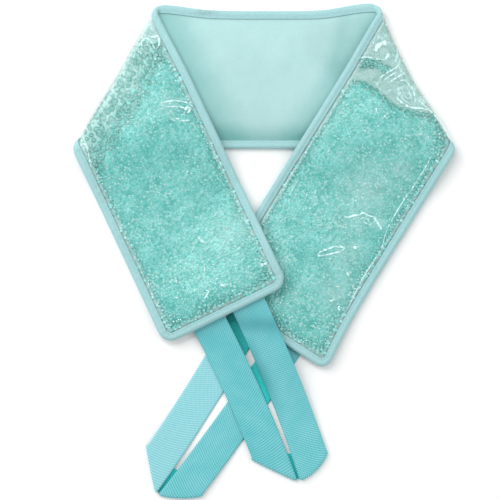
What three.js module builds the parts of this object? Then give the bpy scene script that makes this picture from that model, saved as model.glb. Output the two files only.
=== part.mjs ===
// A hot and cold neck wrap, lying flat on a table with both arms folded forward over its back.
// One plush-backed strip carries gel beads under a clear front film, and a folded tape binds its
// rim. A loop of webbing for the hand is sewn under the end of each arm.
//
// Millimetres, +Z up. X runs along the back section, and the arms and loops reach towards -Y.
// The origin is the middle of the back section's underside, on the table.
import * as THREE from "three";

// The strip
const PAD_WIDTH = 127; // over the binding
const BACK_LENGTH = 273; // between the middles of the two folds
const CORNER_RADIUS = 13; // at the arms' ends
const BACK_SAG = 3.5; // how far the back section hangs forward between the folds
const FOLD_HOLLOW = 3; // how far a fold's middle is drawn in from its two ends
// lean is the arm's angle in degrees from -Y towards the other arm, and skew how far its end is
// cut off square, in degrees. curl is how far east the arm bends in its last quarter. The folds are
// loose rolls: slide is how far the arm has slipped forward along its fold, flare how far the fold's
// upper end stands out, and creep how far that end has moved up along the fold.
const ARMS = {
  left: { side: -1, length: 239.5, lean: 25.2, skew: -1, curl: 0, slide: 4.5, flare: 4.5, creep: 0 },
  right: { side: 1, length: 270, lean: 31.9, skew: -1, curl: 7, slide: 6.5, flare: 2, creep: 3 },
};
const CURL_POWER = 8; // how late along the arm its bend sets in

// Its layers
const GAP = 0.3; // between touching pieces
const PLUSH_PILE = 2.25;
const PLUSH_SEWN = 1; // where the binding's seam crushes the pile
const FILM_THICKNESS = 0.6;
const FILL_DEPTH = 8.2; // the bead mass at its thickest
const FILL_RIM = 0.8; // the gel where the mass runs out
const FOLD_GAP = 0.8; // between the plush faces inside a fold
const EDGE_RISE = 1.5; // how far a filled pad lifts its own rim off the table
const SLACK = 0.8; // the air left under an arm that lies over another layer

// The binding
const TAPE_LEG = 7.5;
const TAPE_THICKNESS = 0.8;

// The webbing loops. offset is where the slit between the strands starts, east of the middle of
// the arm's end. drift and bow are shares of the drop: how far the slit leans west on its way to
// the tip, and how far it bows east. The folds are the angles in degrees between each strand and
// the line on which it turns under at the tip.
const WEBBING_WIDTH = 32;
const WEBBING_THICKNESS = 1.6;
const WEBBING_OVERLAP = 14; // the sewn length under the arm's end
const LOOPS = {
  left: {
    drop: 168, offset: 2.5, drift: 0.044, bow: 0.017,
    seatGap: 8, tipGap: 2, westFold: 44, eastFold: 63,
  },
  right: {
    drop: 181, offset: -4, drift: 0.036, bow: 0.015,
    seatGap: 12, tipGap: 2, westFold: 47, eastFold: 54,
  },
};

// Where the beads have run away from a fold. depth is the share of the bead depth left on the
// fold line, and reach the distance from it, as a share of the pad's width, where the mass is full
// again.
const PINCH = {
  left: { depth: 0.55, reach: 0.38 },
  right: { depth: 0.3, reach: 0.38 },
};
// The empty patch round the upper end of the right fold, in shares of the pad's width.
const EMPTY_PATCH = { shift: 0.17, radius: 0.52, blend: 0.25 };

const COLOURS = {
  plush: { color: 0xb9e3e0, roughness: 0.95 },
  beads: { color: 0x5fc9bf, roughness: 0.35 },
  film: { color: 0xcfe9e4, roughness: 0.12, transparent: true, opacity: 0.45 },
  tape: { color: 0xa5dbdd, roughness: 0.8 },
  webbing: { color: 0x62c6c9, roughness: 0.75 },
};

// What follows from them
const half = PAD_WIDTH / 2;
const filmTop = GAP + FILL_DEPTH + GAP + FILM_THICKNESS; // above the plush's glued face
const padHeight = PLUSH_PILE + filmTop;
const legGap = 1.5 * GAP; // a wider gap, as the binding's legs are straight between the rows
const tapeOuter = GAP + FILM_THICKNESS + legGap + TAPE_THICKNESS; // the binding's face over the film
const tapeInner = PLUSH_SEWN + legGap + TAPE_THICKNESS; // and over the plush
const deepest = Math.max(PLUSH_PILE, tapeInner);
const foldRadius = deepest + FOLD_GAP / 2;
const bendHalf = (Math.PI * foldRadius) / 2; // half of the strip's length inside a fold
const tapeStart = TAPE_THICKNESS + 3 * GAP; // the plush and film stop short of the tape's wall
const fillStart = TAPE_LEG + TAPE_THICKNESS + 5 * GAP; // the beads stop short of its legs
const webbingBend = WEBBING_THICKNESS / 2 + 2 * GAP; // middle radius where a strand turns under
const onTable = WEBBING_THICKNESS / 2;

const clamp01 = (x) => Math.min(1, Math.max(0, x));
const smooth = (x) => clamp01(x) ** 2 * (3 - 2 * clamp01(x));
const mix = (a, b, t) => a + (b - a) * t;
const radians = THREE.MathUtils.degToRad;

// Each arm's fold: its line runs through foot along `along`, and `out` points off the back.
// Beyond it the strip is laid over, so the arm runs along `reach`, with `across` to its east.
for (const arm of Object.values(ARMS)) {
  const beta = radians(45 - arm.lean / 2);
  const lean = radians(arm.lean);
  arm.foot = new THREE.Vector2((arm.side * BACK_LENGTH) / 2, 0);
  arm.along = new THREE.Vector2(-arm.side * Math.sin(beta), Math.cos(beta));
  arm.out = new THREE.Vector2(arm.side * Math.cos(beta), Math.sin(beta));
  arm.tilt = -arm.side * Math.tan(beta);
  arm.reach = new THREE.Vector2(-arm.side * Math.sin(lean), -Math.cos(lean));
  arm.across = new THREE.Vector2(-arm.reach.y, arm.reach.x);
  arm.end = arm.foot.clone().addScaledVector(arm.reach, arm.length);
  arm.end.addScaledVector(arm.along, -arm.slide).addScaledVector(arm.across, arm.curl);
  arm.tip = arm.side * (BACK_LENGTH / 2 + arm.length); // the end on the flat strip
}

// How far a point of the flat strip lies past an arm's fold line.
const pastFold = (arm, s, v) => (s - arm.foot.x) * arm.out.x + v * arm.out.y;

// Distances inside the strip's long edges, inside its nearer end, and inside its rounded rim.
const fromSide = (v) => half - Math.abs(v);
const fromEnd = (s) => Math.min(s - ARMS.left.tip, ARMS.right.tip - s);
function fromRim(s, v) {
  const intoSide = CORNER_RADIUS - fromSide(v);
  const intoEnd = CORNER_RADIUS - fromEnd(s);
  if (intoSide <= 0 || intoEnd <= 0) return CORNER_RADIUS - Math.max(intoSide, intoEnd);
  return CORNER_RADIUS - Math.hypot(intoSide, intoEnd);
}

// A pillow's rise over a distance from its rim, as a share of its full depth.
const pillow = (x) => 1 - (1 - clamp01(x)) ** 3;

// The depth of the bead mass at a point of the flat strip.
function fillDepth(s, v) {
  let share = pillow((fromSide(v) - fillStart) / (half - fillStart));
  share *= pillow((fromEnd(s) - fillStart) / (half - fillStart));
  for (const name of Object.keys(ARMS)) {
    const { depth, reach } = PINCH[name];
    const away = Math.abs(pastFold(ARMS[name], s, v)) / (reach * PAD_WIDTH);
    share *= mix(depth, 1, smooth(away));
  }
  const patch = ARMS.right.foot.x + ARMS.right.tilt * half + EMPTY_PATCH.shift * PAD_WIDTH;
  const near = Math.hypot(s - patch, v - half) / PAD_WIDTH;
  share *= smooth((near - EMPTY_PATCH.radius) / EMPTY_PATCH.blend);
  return mix(FILL_RIM, FILL_DEPTH, share);
}

// Only the sewn rim is crushed: inside it the film is just clear of the beads, and the pile full.
const overFill = (s, v) => GAP + fillDepth(s, v) + GAP;
const filmInner = (s, v) =>
  Math.min(fromSide(v), fromEnd(s)) < fillStart - GAP / 2 ? GAP : overFill(s, v);
const plushDepth = (s, v) => (fromRim(s, v) < fillStart - GAP / 2 ? PLUSH_SEWN : PLUSH_PILE);

// How far the rim is lifted by the filling beside it.
const riseBand = 0.6 * half;
const rimRise = (s, v) => EDGE_RISE * (1 - smooth(Math.min(fromSide(v), fromEnd(s)) / riseBand));

// The height of the back section's glued face, whose beads lie on the table.
const backHeight = (s, v) => overFill(s, v) + FILM_THICKNESS + rimRise(s, v);

// How a soft layer climbs over one that is `height` thick: it leaves the table before the other's
// edge, which lies `inside` away, and is at full height a little past it.
const climbOut = 0.9 * half;
const climbIn = 0.4 * half;
const climb = (height, inside) => height * smooth((inside + climbOut) / (climbOut + climbIn));

// The distance of a point of the table inside an arm's outline, negative outside it.
function insideArm(arm, x, y) {
  const dx = x - arm.end.x;
  const dy = y - arm.end.y;
  const side = Math.abs(dx * arm.across.x + dy * arm.across.y) - half;
  const end = dx * arm.reach.x + dy * arm.reach.y;
  return -(Math.hypot(Math.max(side, 0), Math.max(end, 0)) + Math.min(Math.max(side, end), 0));
}

// The left arm and its loop lie over the right arm, whose end is itself lifted by its loop.
const rightArmHeight = padHeight + WEBBING_THICKNESS + GAP + SLACK;
const overRightArm = (x, y) => climb(rightArmHeight, insideArm(ARMS.right, x, y));

// The middle height of each loop's strands at the arm. The left loop crosses over the right one.
LOOPS.right.seat = onTable;
LOOPS.left.seat = onTable + WEBBING_THICKNESS + GAP;
LOOPS.right.under = () => 0;
LOOPS.left.under = overRightArm;

// The height of an arm's glued face over a point of the table: close on the back at the fold,
// then draped over the back's lower edge and down to the table, and lifted over its own loop.
function armHeight(name, s, v, x, y, foldHeight) {
  const arm = ARMS[name];
  const loop = LOOPS[name];
  const overBack = climb(padHeight + SLACK, y + half);
  const drape = Math.max(overBack, loop.under(x, y));
  const ownRise = rimRise(s, v) * clamp01(1 - drape / padHeight);
  const loopTop = loop.seat + WEBBING_THICKNESS / 2 + 3 * GAP;
  const lift = loopTop * (1 - smooth((Math.abs(arm.tip - s) - WEBBING_OVERLAP - GAP) / climbOut));
  const away = (pastFold(arm, s, v) - bendHalf) / (PINCH[name].reach * PAD_WIDTH);
  return mix(foldHeight, deepest + drape + ownRise + lift, smooth(away));
}

// How far the back section hangs forward at a place along it.
function sag(s) {
  const upperFold = BACK_LENGTH / 2 - half * Math.abs(ARMS.left.tilt);
  return BACK_SAG * smooth(2 * clamp01(1 - Math.abs(s) / upperFold));
}

// How a point near a fold is moved: drawn in at the fold's middle, and out and up at its upper end.
function foldShift(arm, s, v) {
  const near = 1 - smooth(Math.abs(pastFold(arm, s, v)) / half);
  const upper = smooth(v / half);
  const outwards = arm.flare * upper - FOLD_HOLLOW * (1 - (v / half) ** 2);
  const shift = arm.out.clone().multiplyScalar(near * outwards);
  return shift.addScaledVector(arm.along, near * arm.creep * upper);
}

// Lays a point of the flat strip on the table. s runs along the strip, v across it, and h off the
// plush's glued face towards the beads, which face down on the back and up on the arms.
function lay(s, v, h) {
  for (const [name, arm] of Object.entries(ARMS)) {
    const past = pastFold(arm, s, v);
    if (past <= -bendHalf) continue;
    const place = (s - arm.foot.x) * arm.along.x + v * arm.along.y;
    const start = arm.foot.clone().addScaledVector(arm.along, place);
    start.addScaledVector(arm.out, -bendHalf);
    const turn = clamp01((past + bendHalf) / (2 * bendHalf)) * Math.PI;
    const axis = backHeight(start.x, start.y) + foldRadius;
    const p = start.clone().addScaledVector(arm.along, (-arm.slide * turn) / Math.PI);
    p.add(foldShift(arm, s, v));
    if (past < bendHalf) {
      p.addScaledVector(arm.out, (foldRadius + h) * Math.sin(turn));
      return new THREE.Vector3(p.x, p.y, axis - (foldRadius + h) * Math.cos(turn));
    }
    const share = Math.abs(s - arm.foot.x) / arm.length;
    const shear = Math.tan(radians(arm.skew)) * v * smooth(share);
    p.addScaledVector(arm.out, bendHalf - past).addScaledVector(arm.reach, shear);
    p.addScaledVector(arm.across, arm.curl * share ** CURL_POWER);
    const height = armHeight(name, s, v, p.x, p.y, axis + foldRadius);
    return new THREE.Vector3(p.x, p.y, height + h);
  }
  const drawn = new THREE.Vector2(s, v - sag(s));
  for (const arm of Object.values(ARMS)) drawn.add(foldShift(arm, s, v));
  return new THREE.Vector3(drawn.x, drawn.y, backHeight(s, v) - h);
}

// A closed body from rows of points: each row has as many points on its top as on its underside.
// The facets' diagonals run round the body's middle, so that the four corners match, and west
// marks the rows before it.
function slabGeometry(rows) {
  const count = rows[0].top.length;
  const positions = rows.flatMap(({ top, under }) => [...top, ...under].flatMap((p) => p.toArray()));
  const at = (row, column, under) => row * 2 * count + (under ? count : 0) + column;
  const index = [];
  const quad = (a, b, c, d) => index.push(a, c, b, a, d, c);
  for (let i = 0; i + 1 < rows.length; i++) {
    for (let j = 0; j + 1 < count; j++) {
      const over = [at(i, j), at(i + 1, j), at(i + 1, j + 1), at(i, j + 1)];
      const below = [at(i, j, true), at(i, j + 1, true), at(i + 1, j + 1, true), at(i + 1, j, true)];
      const across = rows[i].west === j < (count - 1) / 2;
      for (const face of [over, below]) quad(...(across ? [...face.slice(1), face[0]] : face));
    }
    quad(at(i, 0), at(i, 0, true), at(i + 1, 0, true), at(i + 1, 0));
    const last = count - 1;
    quad(at(i, last), at(i + 1, last), at(i + 1, last, true), at(i, last, true));
  }
  const end = rows.length - 1;
  for (let j = 0; j + 1 < count; j++) {
    quad(at(0, j), at(0, j + 1), at(0, j + 1, true), at(0, j, true));
    quad(at(end, j), at(end, j, true), at(end, j + 1, true), at(end, j + 1));
  }
  return indexed(positions, index);
}

// A closed ring from sections that all have the same number of points. turned(i, j) says which
// way the diagonal runs in the facets between a section and the next.
function ringGeometry(sections, turned) {
  const count = sections[0].length;
  const positions = sections.flat().flatMap((p) => p.toArray());
  const index = [];
  sections.forEach((_, i) => {
    const next = (i + 1) % sections.length;
    for (let j = 0; j < count; j++) {
      const k = (j + 1) % count;
      const [a, b, c, d] = [i * count + j, next * count + j, next * count + k, i * count + k];
      if (turned(i, j)) index.push(b, d, c, b, a, d);
      else index.push(a, c, b, a, d, c);
    }
  });
  return indexed(positions, index);
}

function indexed(positions, index) {
  const geometry = new THREE.BufferGeometry();
  geometry.setAttribute("position", new THREE.Float32BufferAttribute(positions, 3));
  geometry.setIndex(index);
  geometry.computeVertexNormals();
  return geometry;
}

// Stops from a to b, evenly spaced and at most `step` apart, without b itself.
function stops(a, b, step) {
  const n = Math.max(1, Math.ceil(Math.abs(b - a) / step - 1e-6));
  return Array.from({ length: n }, (_, i) => mix(a, b, i / n));
}

// The strip's rows. Each crosses the strip in a straight line, which lies along the fold line at
// the folds and square to the strip at the ends. A row is named by its place on the middle line.
const rowStep = half / 2.8;
const endStep = half / 6;
const foldStep = half / 8;
const bendTurns = 6;
const cornerRows = [0, 0.13, 0.46]; // shares of the way from the tape's wall to its legs' edge
const squareEnd = fillStart * 3;
const foldBand = TAPE_LEG * 2;
const foldSpan = (arm) => bendHalf / Math.abs(arm.out.x);

function rowTilt(middle) {
  const arm = middle < 0 ? ARMS.left : ARMS.right;
  const fromFoot = (middle - arm.foot.x) * arm.side;
  if (fromFoot > foldBand) {
    return arm.tilt * clamp01((arm.length - squareEnd - fromFoot) / (arm.length - squareEnd - foldBand));
  }
  if (fromFoot > -foldBand) return arm.tilt;
  const across = (middle - ARMS.left.foot.x - foldBand) / (BACK_LENGTH - 2 * foldBand);
  return mix(ARMS.left.tilt, ARMS.right.tilt, across);
}

function armRows(arm) {
  const corner = cornerRows.map((share) => mix(tapeStart, TAPE_LEG, share));
  const fromTip = [
    ...corner,
    TAPE_LEG,
    ...stops(fillStart, squareEnd, endStep),
    ...stops(squareEnd, arm.length - foldBand, rowStep),
    ...stops(arm.length - foldBand, arm.length - foldSpan(arm), foldStep),
  ];
  return fromTip.map((d) => arm.tip - arm.side * d);
}

// From the back to the arm on the left, and from the arm to the back on the right, both eastwards.
function bendRows(arm) {
  const span = foldSpan(arm);
  return [...stops(-span, span, (2 * span) / bendTurns), span].map((d) => arm.foot.x + d);
}

const backRows = [
  ...stops(ARMS.left.foot.x + foldSpan(ARMS.left), ARMS.left.foot.x + foldBand, foldStep).slice(1),
  ...stops(ARMS.left.foot.x + foldBand, ARMS.right.foot.x - foldBand, rowStep),
  ...stops(ARMS.right.foot.x - foldBand, ARMS.right.foot.x - foldSpan(ARMS.right), foldStep),
];

const STRIP_ROWS = [
  ...armRows(ARMS.left),
  ...bendRows(ARMS.left),
  ...backRows,
  ...bendRows(ARMS.right),
  ...armRows(ARMS.right).reverse(),
];

// The columns, as insets from the strip's edge. Every layer uses the same ones, so that none
// cuts a neighbour's facets.
const INSETS = [tapeStart, TAPE_LEG, fillStart, mix(fillStart, half, 0.25), mix(fillStart, half, 0.6)];

// Half the width at a row of a layer that starts `inset` inside the rim, with its rounded corners.
function halfAt(s, inset) {
  const radius = Math.max(0, CORNER_RADIUS - inset);
  const into = THREE.MathUtils.clamp(fromEnd(s) - inset, 0, radius);
  return half - inset - radius + Math.sqrt(radius ** 2 - (radius - into) ** 2);
}

// The columns of such a layer, as shares of half its width.
function columnShares(inset) {
  const shares = INSETS.filter((e) => e >= inset).map((e) => (half - e) / (half - inset));
  return [...shares.map((q) => -q), 0, ...shares.toReversed()];
}

// A layer of the strip between two heights off the glued face.
function layerGeometry(inset, low, high) {
  const rows = STRIP_ROWS.filter((s) => fromEnd(s) >= inset - GAP).map((middle) => {
    const points = columnShares(inset).map((q) => {
      const v = q * halfAt(middle, inset);
      return [middle + rowTilt(middle) * v, v];
    });
    return {
      top: points.map(([s, v]) => lay(s, v, high(s, v))),
      under: points.map(([s, v]) => lay(s, v, low(s, v))),
      west: middle < (ARMS.left.tip + ARMS.right.tip) / 2,
    };
  });
  return slabGeometry(rows);
}

// The binding's section, as insets from the rim and heights off the glued face.
const tapeWall = TAPE_THICKNESS + GAP / 2;
const TAPE_SECTION = [
  [TAPE_LEG, tapeOuter],
  [0, tapeOuter],
  [0, -tapeInner],
  [TAPE_LEG, -tapeInner],
  [TAPE_LEG, TAPE_THICKNESS - tapeInner],
  [tapeWall, TAPE_THICKNESS - tapeInner],
  [tapeWall, tapeOuter - TAPE_THICKNESS],
  [TAPE_LEG, tapeOuter - TAPE_THICKNESS],
];

// The binding's stations round the rim: at every row on the long edges, round each corner, and at
// every column across each end. Its diagonals match those of the layers that it holds.
const cornerSteps = 6;

function bindingGeometry() {
  const stations = [];
  const edge = (rows, sign) => {
    for (const s of rows) {
      stations.push((e) => [s + rowTilt(s) * sign * (half - e), sign * (half - e)]);
    }
  };
  const corner = (arm, sign, from, to) => {
    for (let i = 0; i <= cornerSteps; i++) {
      const turn = mix(from, to, i / cornerSteps) * (Math.PI / 2);
      stations.push((e) => [
        arm.tip - arm.side * (CORNER_RADIUS - (CORNER_RADIUS - e) * Math.sin(turn)),
        sign * (half - CORNER_RADIUS + (CORNER_RADIUS - e) * Math.cos(turn)),
      ]);
    }
  };
  const end = (arm, sign) => {
    const straight = half - CORNER_RADIUS;
    for (const q of columnShares(tapeStart).slice(1, -1)) {
      const reach = (e) => Math.min(Math.abs(q) * halfAt(arm.tip - arm.side * e, tapeStart), straight);
      stations.push((e) => [arm.tip - arm.side * e, -sign * Math.sign(q) * reach(e)]);
    }
  };
  const long = STRIP_ROWS.filter((s) => fromEnd(s) > CORNER_RADIUS + 1);
  edge(long, 1);
  corner(ARMS.right, 1, 0, 1);
  end(ARMS.right, 1);
  corner(ARMS.right, -1, 1, 0);
  edge(long.toReversed(), -1);
  corner(ARMS.left, -1, 0, 1);
  end(ARMS.left, -1);
  corner(ARMS.left, 1, 1, 0);
  const inset = (j) => TAPE_SECTION[j % TAPE_SECTION.length][0];
  const toMiddle = (i) => {
    const [here, next] = [stations[i], stations[(i + 1) % stations.length]];
    return fromEnd(next(0)[0]) > fromEnd(here(0)[0]);
  };
  return ringGeometry(
    stations.map((station) => TAPE_SECTION.map(([e, h]) => lay(...station(e), h))),
    (i, j) => toMiddle(i) === inset(j) < inset(j + 1),
  );
}

// A loop of webbing: down the west strand, under at its fold, across to the east fold and up again.
const strandSteps = 12;
const tipTurns = 5;

function loopGeometry(name) {
  const arm = ARMS[name];
  const loop = LOOPS[name];
  const tipLevel = onTable + 2 * webbingBend;
  // A point beside the slit: t is the share of the drop, side -1 for west, and out the distance
  // from the slit's edge.
  const beside = (t, side, out) => {
    const slit = loop.offset + loop.drop * (4 * loop.bow * t * (1 - t) - loop.drift * t);
    const slope = 4 * loop.bow * (1 - 2 * t) - loop.drift;
    const gap = mix(loop.seatGap, loop.tipGap, clamp01(t)) / 2;
    const normal = new THREE.Vector2(-slope, 1).normalize();
    const along = loop.drop * t + side * out * normal.x;
    const across = slit + side * (gap + out * normal.y);
    return arm.end.clone().addScaledVector(arm.reach, along).addScaledVector(arm.across, across);
  };
  const ruling = (tInner, tOuter, side) => ({
    inner: beside(tInner, side, 0),
    outer: beside(tOuter, side, WEBBING_WIDTH),
    z: mix(loop.seat, tipLevel, smooth(2 * tInner - 1)),
    turn: 0,
    away: new THREE.Vector2(),
  });
  // One strand's rulings from the arm to its fold, then round the fold to the table.
  const strand = (side, foldDegrees) => {
    const fold = radians(foldDegrees);
    const last = 1 - (webbingBend + WEBBING_THICKNESS / 2) / Math.sin(fold) / loop.drop;
    const shear = WEBBING_WIDTH / Math.tan(fold) / loop.drop;
    const seat = -WEBBING_OVERLAP / loop.drop;
    const rulings = [ruling(seat, seat, side)];
    for (let i = 0; i <= strandSteps; i++) {
      const t = (last * i) / strandSteps;
      rulings.push(ruling(t, t - (shear * i) / strandSteps, side));
    }
    const axis = rulings.at(-1);
    const line = axis.outer.clone().sub(axis.inner).normalize();
    const away = new THREE.Vector2(line.y, -line.x).multiplyScalar(side);
    for (let i = 1; i <= tipTurns; i++) {
      const turn = (Math.PI * i) / tipTurns;
      const shift = away.clone().multiplyScalar(webbingBend * Math.sin(turn));
      rulings.push({
        inner: axis.inner.clone().add(shift),
        outer: axis.outer.clone().add(shift),
        z: onTable + webbingBend * (1 + Math.cos(turn)),
        turn,
        away,
      });
    }
    return rulings;
  };
  const west = strand(-1, loop.westFold);
  const east = strand(1, loop.eastFold);
  const middle = stops(0, 1, 0.25)
    .slice(1)
    .map((t) => ({
      ...west.at(-1),
      inner: west.at(-1).inner.clone().lerp(east.at(-1).inner, t),
      outer: west.at(-1).outer.clone().lerp(east.at(-1).outer, t),
    }));
  const shares = [0, 0.25, 0.5, 0.75, 1];
  const rows = [...west, ...middle, ...east.toReversed()].map(({ inner, outer, z, turn, away }) => {
    const face = (sign) =>
      shares.map((q) => {
        const p = inner.clone().lerp(outer, q);
        const off = (sign * WEBBING_THICKNESS) / 2;
        const ground = turn === 0 ? loop.under(p.x, p.y) : 0;
        p.addScaledVector(away, off * Math.sin(turn));
        return new THREE.Vector3(p.x, p.y, z + ground + off * Math.cos(turn));
      });
    return { top: face(1), under: face(-1), west: true };
  });
  return slabGeometry(rows);
}

const wrap = new THREE.Group();

function addPiece(name, geometry, colour) {
  const piece = new THREE.Mesh(geometry, new THREE.MeshStandardMaterial({ metalness: 0, ...colour }));
  piece.name = name;
  wrap.add(piece);
}

const plush = layerGeometry(tapeStart, (s, v) => -plushDepth(s, v), () => 0);
const beads = layerGeometry(fillStart, () => GAP, (s, v) => GAP + fillDepth(s, v));
const film = layerGeometry(tapeStart, filmInner, (s, v) => filmInner(s, v) + FILM_THICKNESS);

addPiece("plush_backing", plush, COLOURS.plush);
addPiece("bead_fill", beads, COLOURS.beads);
addPiece("clear_front_film", film, COLOURS.film);
addPiece("edge_binding", bindingGeometry(), COLOURS.tape);
addPiece("strap_loop_left", loopGeometry("left"), COLOURS.webbing);
addPiece("strap_loop_right", loopGeometry("right"), COLOURS.webbing);

export default wrap;
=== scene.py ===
# %% [markdown]
# # A hot and cold neck wrap
# The wrap is one long flat strip. Its front is clear film over gel beads, its back is plush, and
# a woven tape binds the rim. Laid out, both ends are folded over, and each ends in a webbing loop.
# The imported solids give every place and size, so we load them first and note how big they are.

import bpy
import numpy as np
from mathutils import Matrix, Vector


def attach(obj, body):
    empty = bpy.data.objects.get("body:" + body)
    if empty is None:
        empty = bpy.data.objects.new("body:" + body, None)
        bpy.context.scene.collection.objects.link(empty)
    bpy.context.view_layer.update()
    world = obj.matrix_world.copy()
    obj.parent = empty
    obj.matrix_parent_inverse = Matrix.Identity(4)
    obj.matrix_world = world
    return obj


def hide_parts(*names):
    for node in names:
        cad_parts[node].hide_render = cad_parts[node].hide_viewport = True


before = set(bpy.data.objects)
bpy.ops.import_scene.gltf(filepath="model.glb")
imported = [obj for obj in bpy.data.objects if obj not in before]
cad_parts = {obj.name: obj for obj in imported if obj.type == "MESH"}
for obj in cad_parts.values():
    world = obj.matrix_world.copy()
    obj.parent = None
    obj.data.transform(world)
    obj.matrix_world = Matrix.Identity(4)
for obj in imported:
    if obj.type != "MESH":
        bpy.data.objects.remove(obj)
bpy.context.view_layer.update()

# %% [markdown]
# ## The sizes
# A maker cuts one strip and folds it twice, so we write down the flat strip and its two folds,
# in millimetres. Every layer is later laid out from these, and so they all fold alike.

# %% Sizes of the strip, its layers and its folds
MM = 0.001
PAD_WIDTH = 127.0
BACK_LENGTH = 273.0
CORNER_RADIUS = 13.0
BACK_SAG = 3.5
FOLD_HOLLOW = 3.0
ARMS = {
    "left": dict(side=-1, length=239.5, lean=25.2, curl=0.0, slide=4.5, flare=4.5, creep=0.0),
    "right": dict(side=1, length=270.0, lean=31.9, curl=7.0, slide=6.5, flare=2.0, creep=3.0),
}
END_SKEW = -1.0
CURL_POWER = 8
GAP = 0.3
PLUSH_PILE = 2.25
PLUSH_SEWN = 1.0
FILM_THICKNESS = 0.6
FILL_DEPTH = 8.2
FILL_RIM = 0.8
FOLD_GAP = 0.8
EDGE_RISE = 1.5
SLACK = 0.8
TAPE_LEG = 7.5
TAPE_THICKNESS = 0.8
PINCH = {"left": (0.55, 0.38), "right": (0.3, 0.38)}
PATCH_SHIFT, PATCH_RADIUS, PATCH_BLEND = 0.17, 0.52, 0.25

half = PAD_WIDTH / 2
pad_height = PLUSH_PILE + GAP + FILL_DEPTH + GAP + FILM_THICKNESS
leg_gap = 1.5 * GAP
tape_outer = GAP + FILM_THICKNESS + leg_gap + TAPE_THICKNESS
tape_inner = PLUSH_SEWN + leg_gap + TAPE_THICKNESS
deepest = max(PLUSH_PILE, tape_inner)
fold_radius = deepest + FOLD_GAP / 2
bend_half = np.pi * fold_radius / 2
tape_start = TAPE_THICKNESS + 3 * GAP
fill_start = TAPE_LEG + TAPE_THICKNESS + 5 * GAP
print("one layer of the pad is", round(pad_height, 1), "mm thick")

# %% [markdown]
# ## The webbing loops' sizes
# Each loop is one length of webbing, sewn under the arm's end by both its ends. Its two strands
# lie side by side with a slit between them, and the webbing turns under at the tip.

# %% Sizes of the loops
WEBBING_WIDTH = 32.0
WEBBING_THICKNESS = 1.6
WEBBING_OVERLAP = 14.0
LOOPS = {
    "left": dict(
        drop=168, offset=2.5, drift=0.044, bow=0.017, seat_gap=8, tip_gap=2,
        folds=(44, 63), bulge=(0.4, 4.2), tone=(0.0, 0.12),
    ),
    "right": dict(
        drop=181, offset=-4, drift=0.036, bow=0.015, seat_gap=12, tip_gap=2,
        folds=(47, 54), bulge=(0.4, 2.4), tone=(1.0, 0.1),
    ),
}
webbing_bend = WEBBING_THICKNESS / 2 + 2 * GAP
on_table = WEBBING_THICKNESS / 2


# %% Small helpers
def clamp01(x):
    """x, kept between 0 and 1."""
    return np.clip(x, 0.0, 1.0)


def smooth(x):
    """An S-shaped ramp from 0 at x = 0 to 1 at x = 1: 3 x squared minus 2 x cubed."""
    x = clamp01(x)
    return x * x * (3 - 2 * x)


def mix(a, b, t):
    """The straight blend from a at t = 0 to b at t = 1."""
    return a + (b - a) * t


def with_height(places, z):
    """Places on the table, each with its height over it."""
    return np.concatenate([places, z[..., None]], -1)


# %% [markdown]
# ## The two folds
# A fold is a line across the strip. Past it the strip is laid back over itself, and so the arm
# leans inwards by twice the angle of the fold line. We keep each fold's line, the direction off
# the back section, and the arm's own two directions.

# %% Directions of the folds
for arm in ARMS.values():
    beta = np.radians(45 - arm["lean"] / 2)
    lean = np.radians(arm["lean"])
    side = arm["side"]
    arm["foot"] = np.array([side * BACK_LENGTH / 2, 0.0])
    arm["along"] = np.array([-side * np.sin(beta), np.cos(beta)])
    arm["out"] = np.array([side * np.cos(beta), np.sin(beta)])
    arm["tilt"] = -side * np.tan(beta)
    arm["reach"] = np.array([-side * np.sin(lean), -np.cos(lean)])
    arm["across"] = np.array([np.cos(lean), -side * np.sin(lean)])
    arm["end"] = (
        arm["foot"]
        + arm["reach"] * arm["length"]
        - arm["along"] * arm["slide"]
        + arm["across"] * arm["curl"]
    )
    arm["tip"] = side * (BACK_LENGTH / 2 + arm["length"])
LEFT, RIGHT = ARMS["left"], ARMS["right"]


def past_fold(arm, s, v):
    """How far a point of the flat strip lies past an arm's fold line, square to that line."""
    return (s - arm["foot"][0]) * arm["out"][0] + v * arm["out"][1]


def past_folds(s, v):
    """How far a point lies past the fold that it has passed: below 0 all over the back."""
    return np.maximum(past_fold(LEFT, s, v), past_fold(RIGHT, s, v))


def from_side(v):
    """The distance inside the strip's nearer long edge."""
    return half - np.abs(v)


def from_end(s):
    """The distance inside the strip's nearer end."""
    return np.minimum(s - LEFT["tip"], RIGHT["tip"] - s)


def from_edge(s, v):
    """The distance inside the strip's nearest edge, as if its corners were square."""
    return np.minimum(from_side(v), from_end(s))


def from_rim(s, v):
    """The distance inside the strip's rim, measured round its corners from their centres."""
    into_side = CORNER_RADIUS - from_side(v)
    into_end = CORNER_RADIUS - from_end(s)
    round_corner = CORNER_RADIUS - np.hypot(into_side, into_end)
    straight = CORNER_RADIUS - np.maximum(into_side, into_end)
    return np.where((into_side > 0) & (into_end > 0), round_corner, straight)


# %% [markdown]
# ## How deep the beads lie
# Loose beads fill a pouch as sand fills a cushion: full in the middle, thin at the sewn rim and
# pushed away from a fold. Near the right fold's upper end they have run away altogether.

# %% Depth of the bead mass
def pillow(x):
    """A pillow's rise from its rim: 1 minus (1 - x) cubed."""
    return 1 - (1 - clamp01(x)) ** 3


def full_share(s, v):
    """The share of the full bead depth with no empty patch: pillows from both edges and the ends,
    times a dip at each fold."""
    share = pillow((from_side(v) - fill_start) / (half - fill_start))
    share = share * pillow((from_end(s) - fill_start) / (half - fill_start))
    for name, (depth, reach) in PINCH.items():
        away = np.abs(past_fold(ARMS[name], s, v)) / (reach * PAD_WIDTH)
        share = share * mix(depth, 1, smooth(away))
    return share


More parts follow.
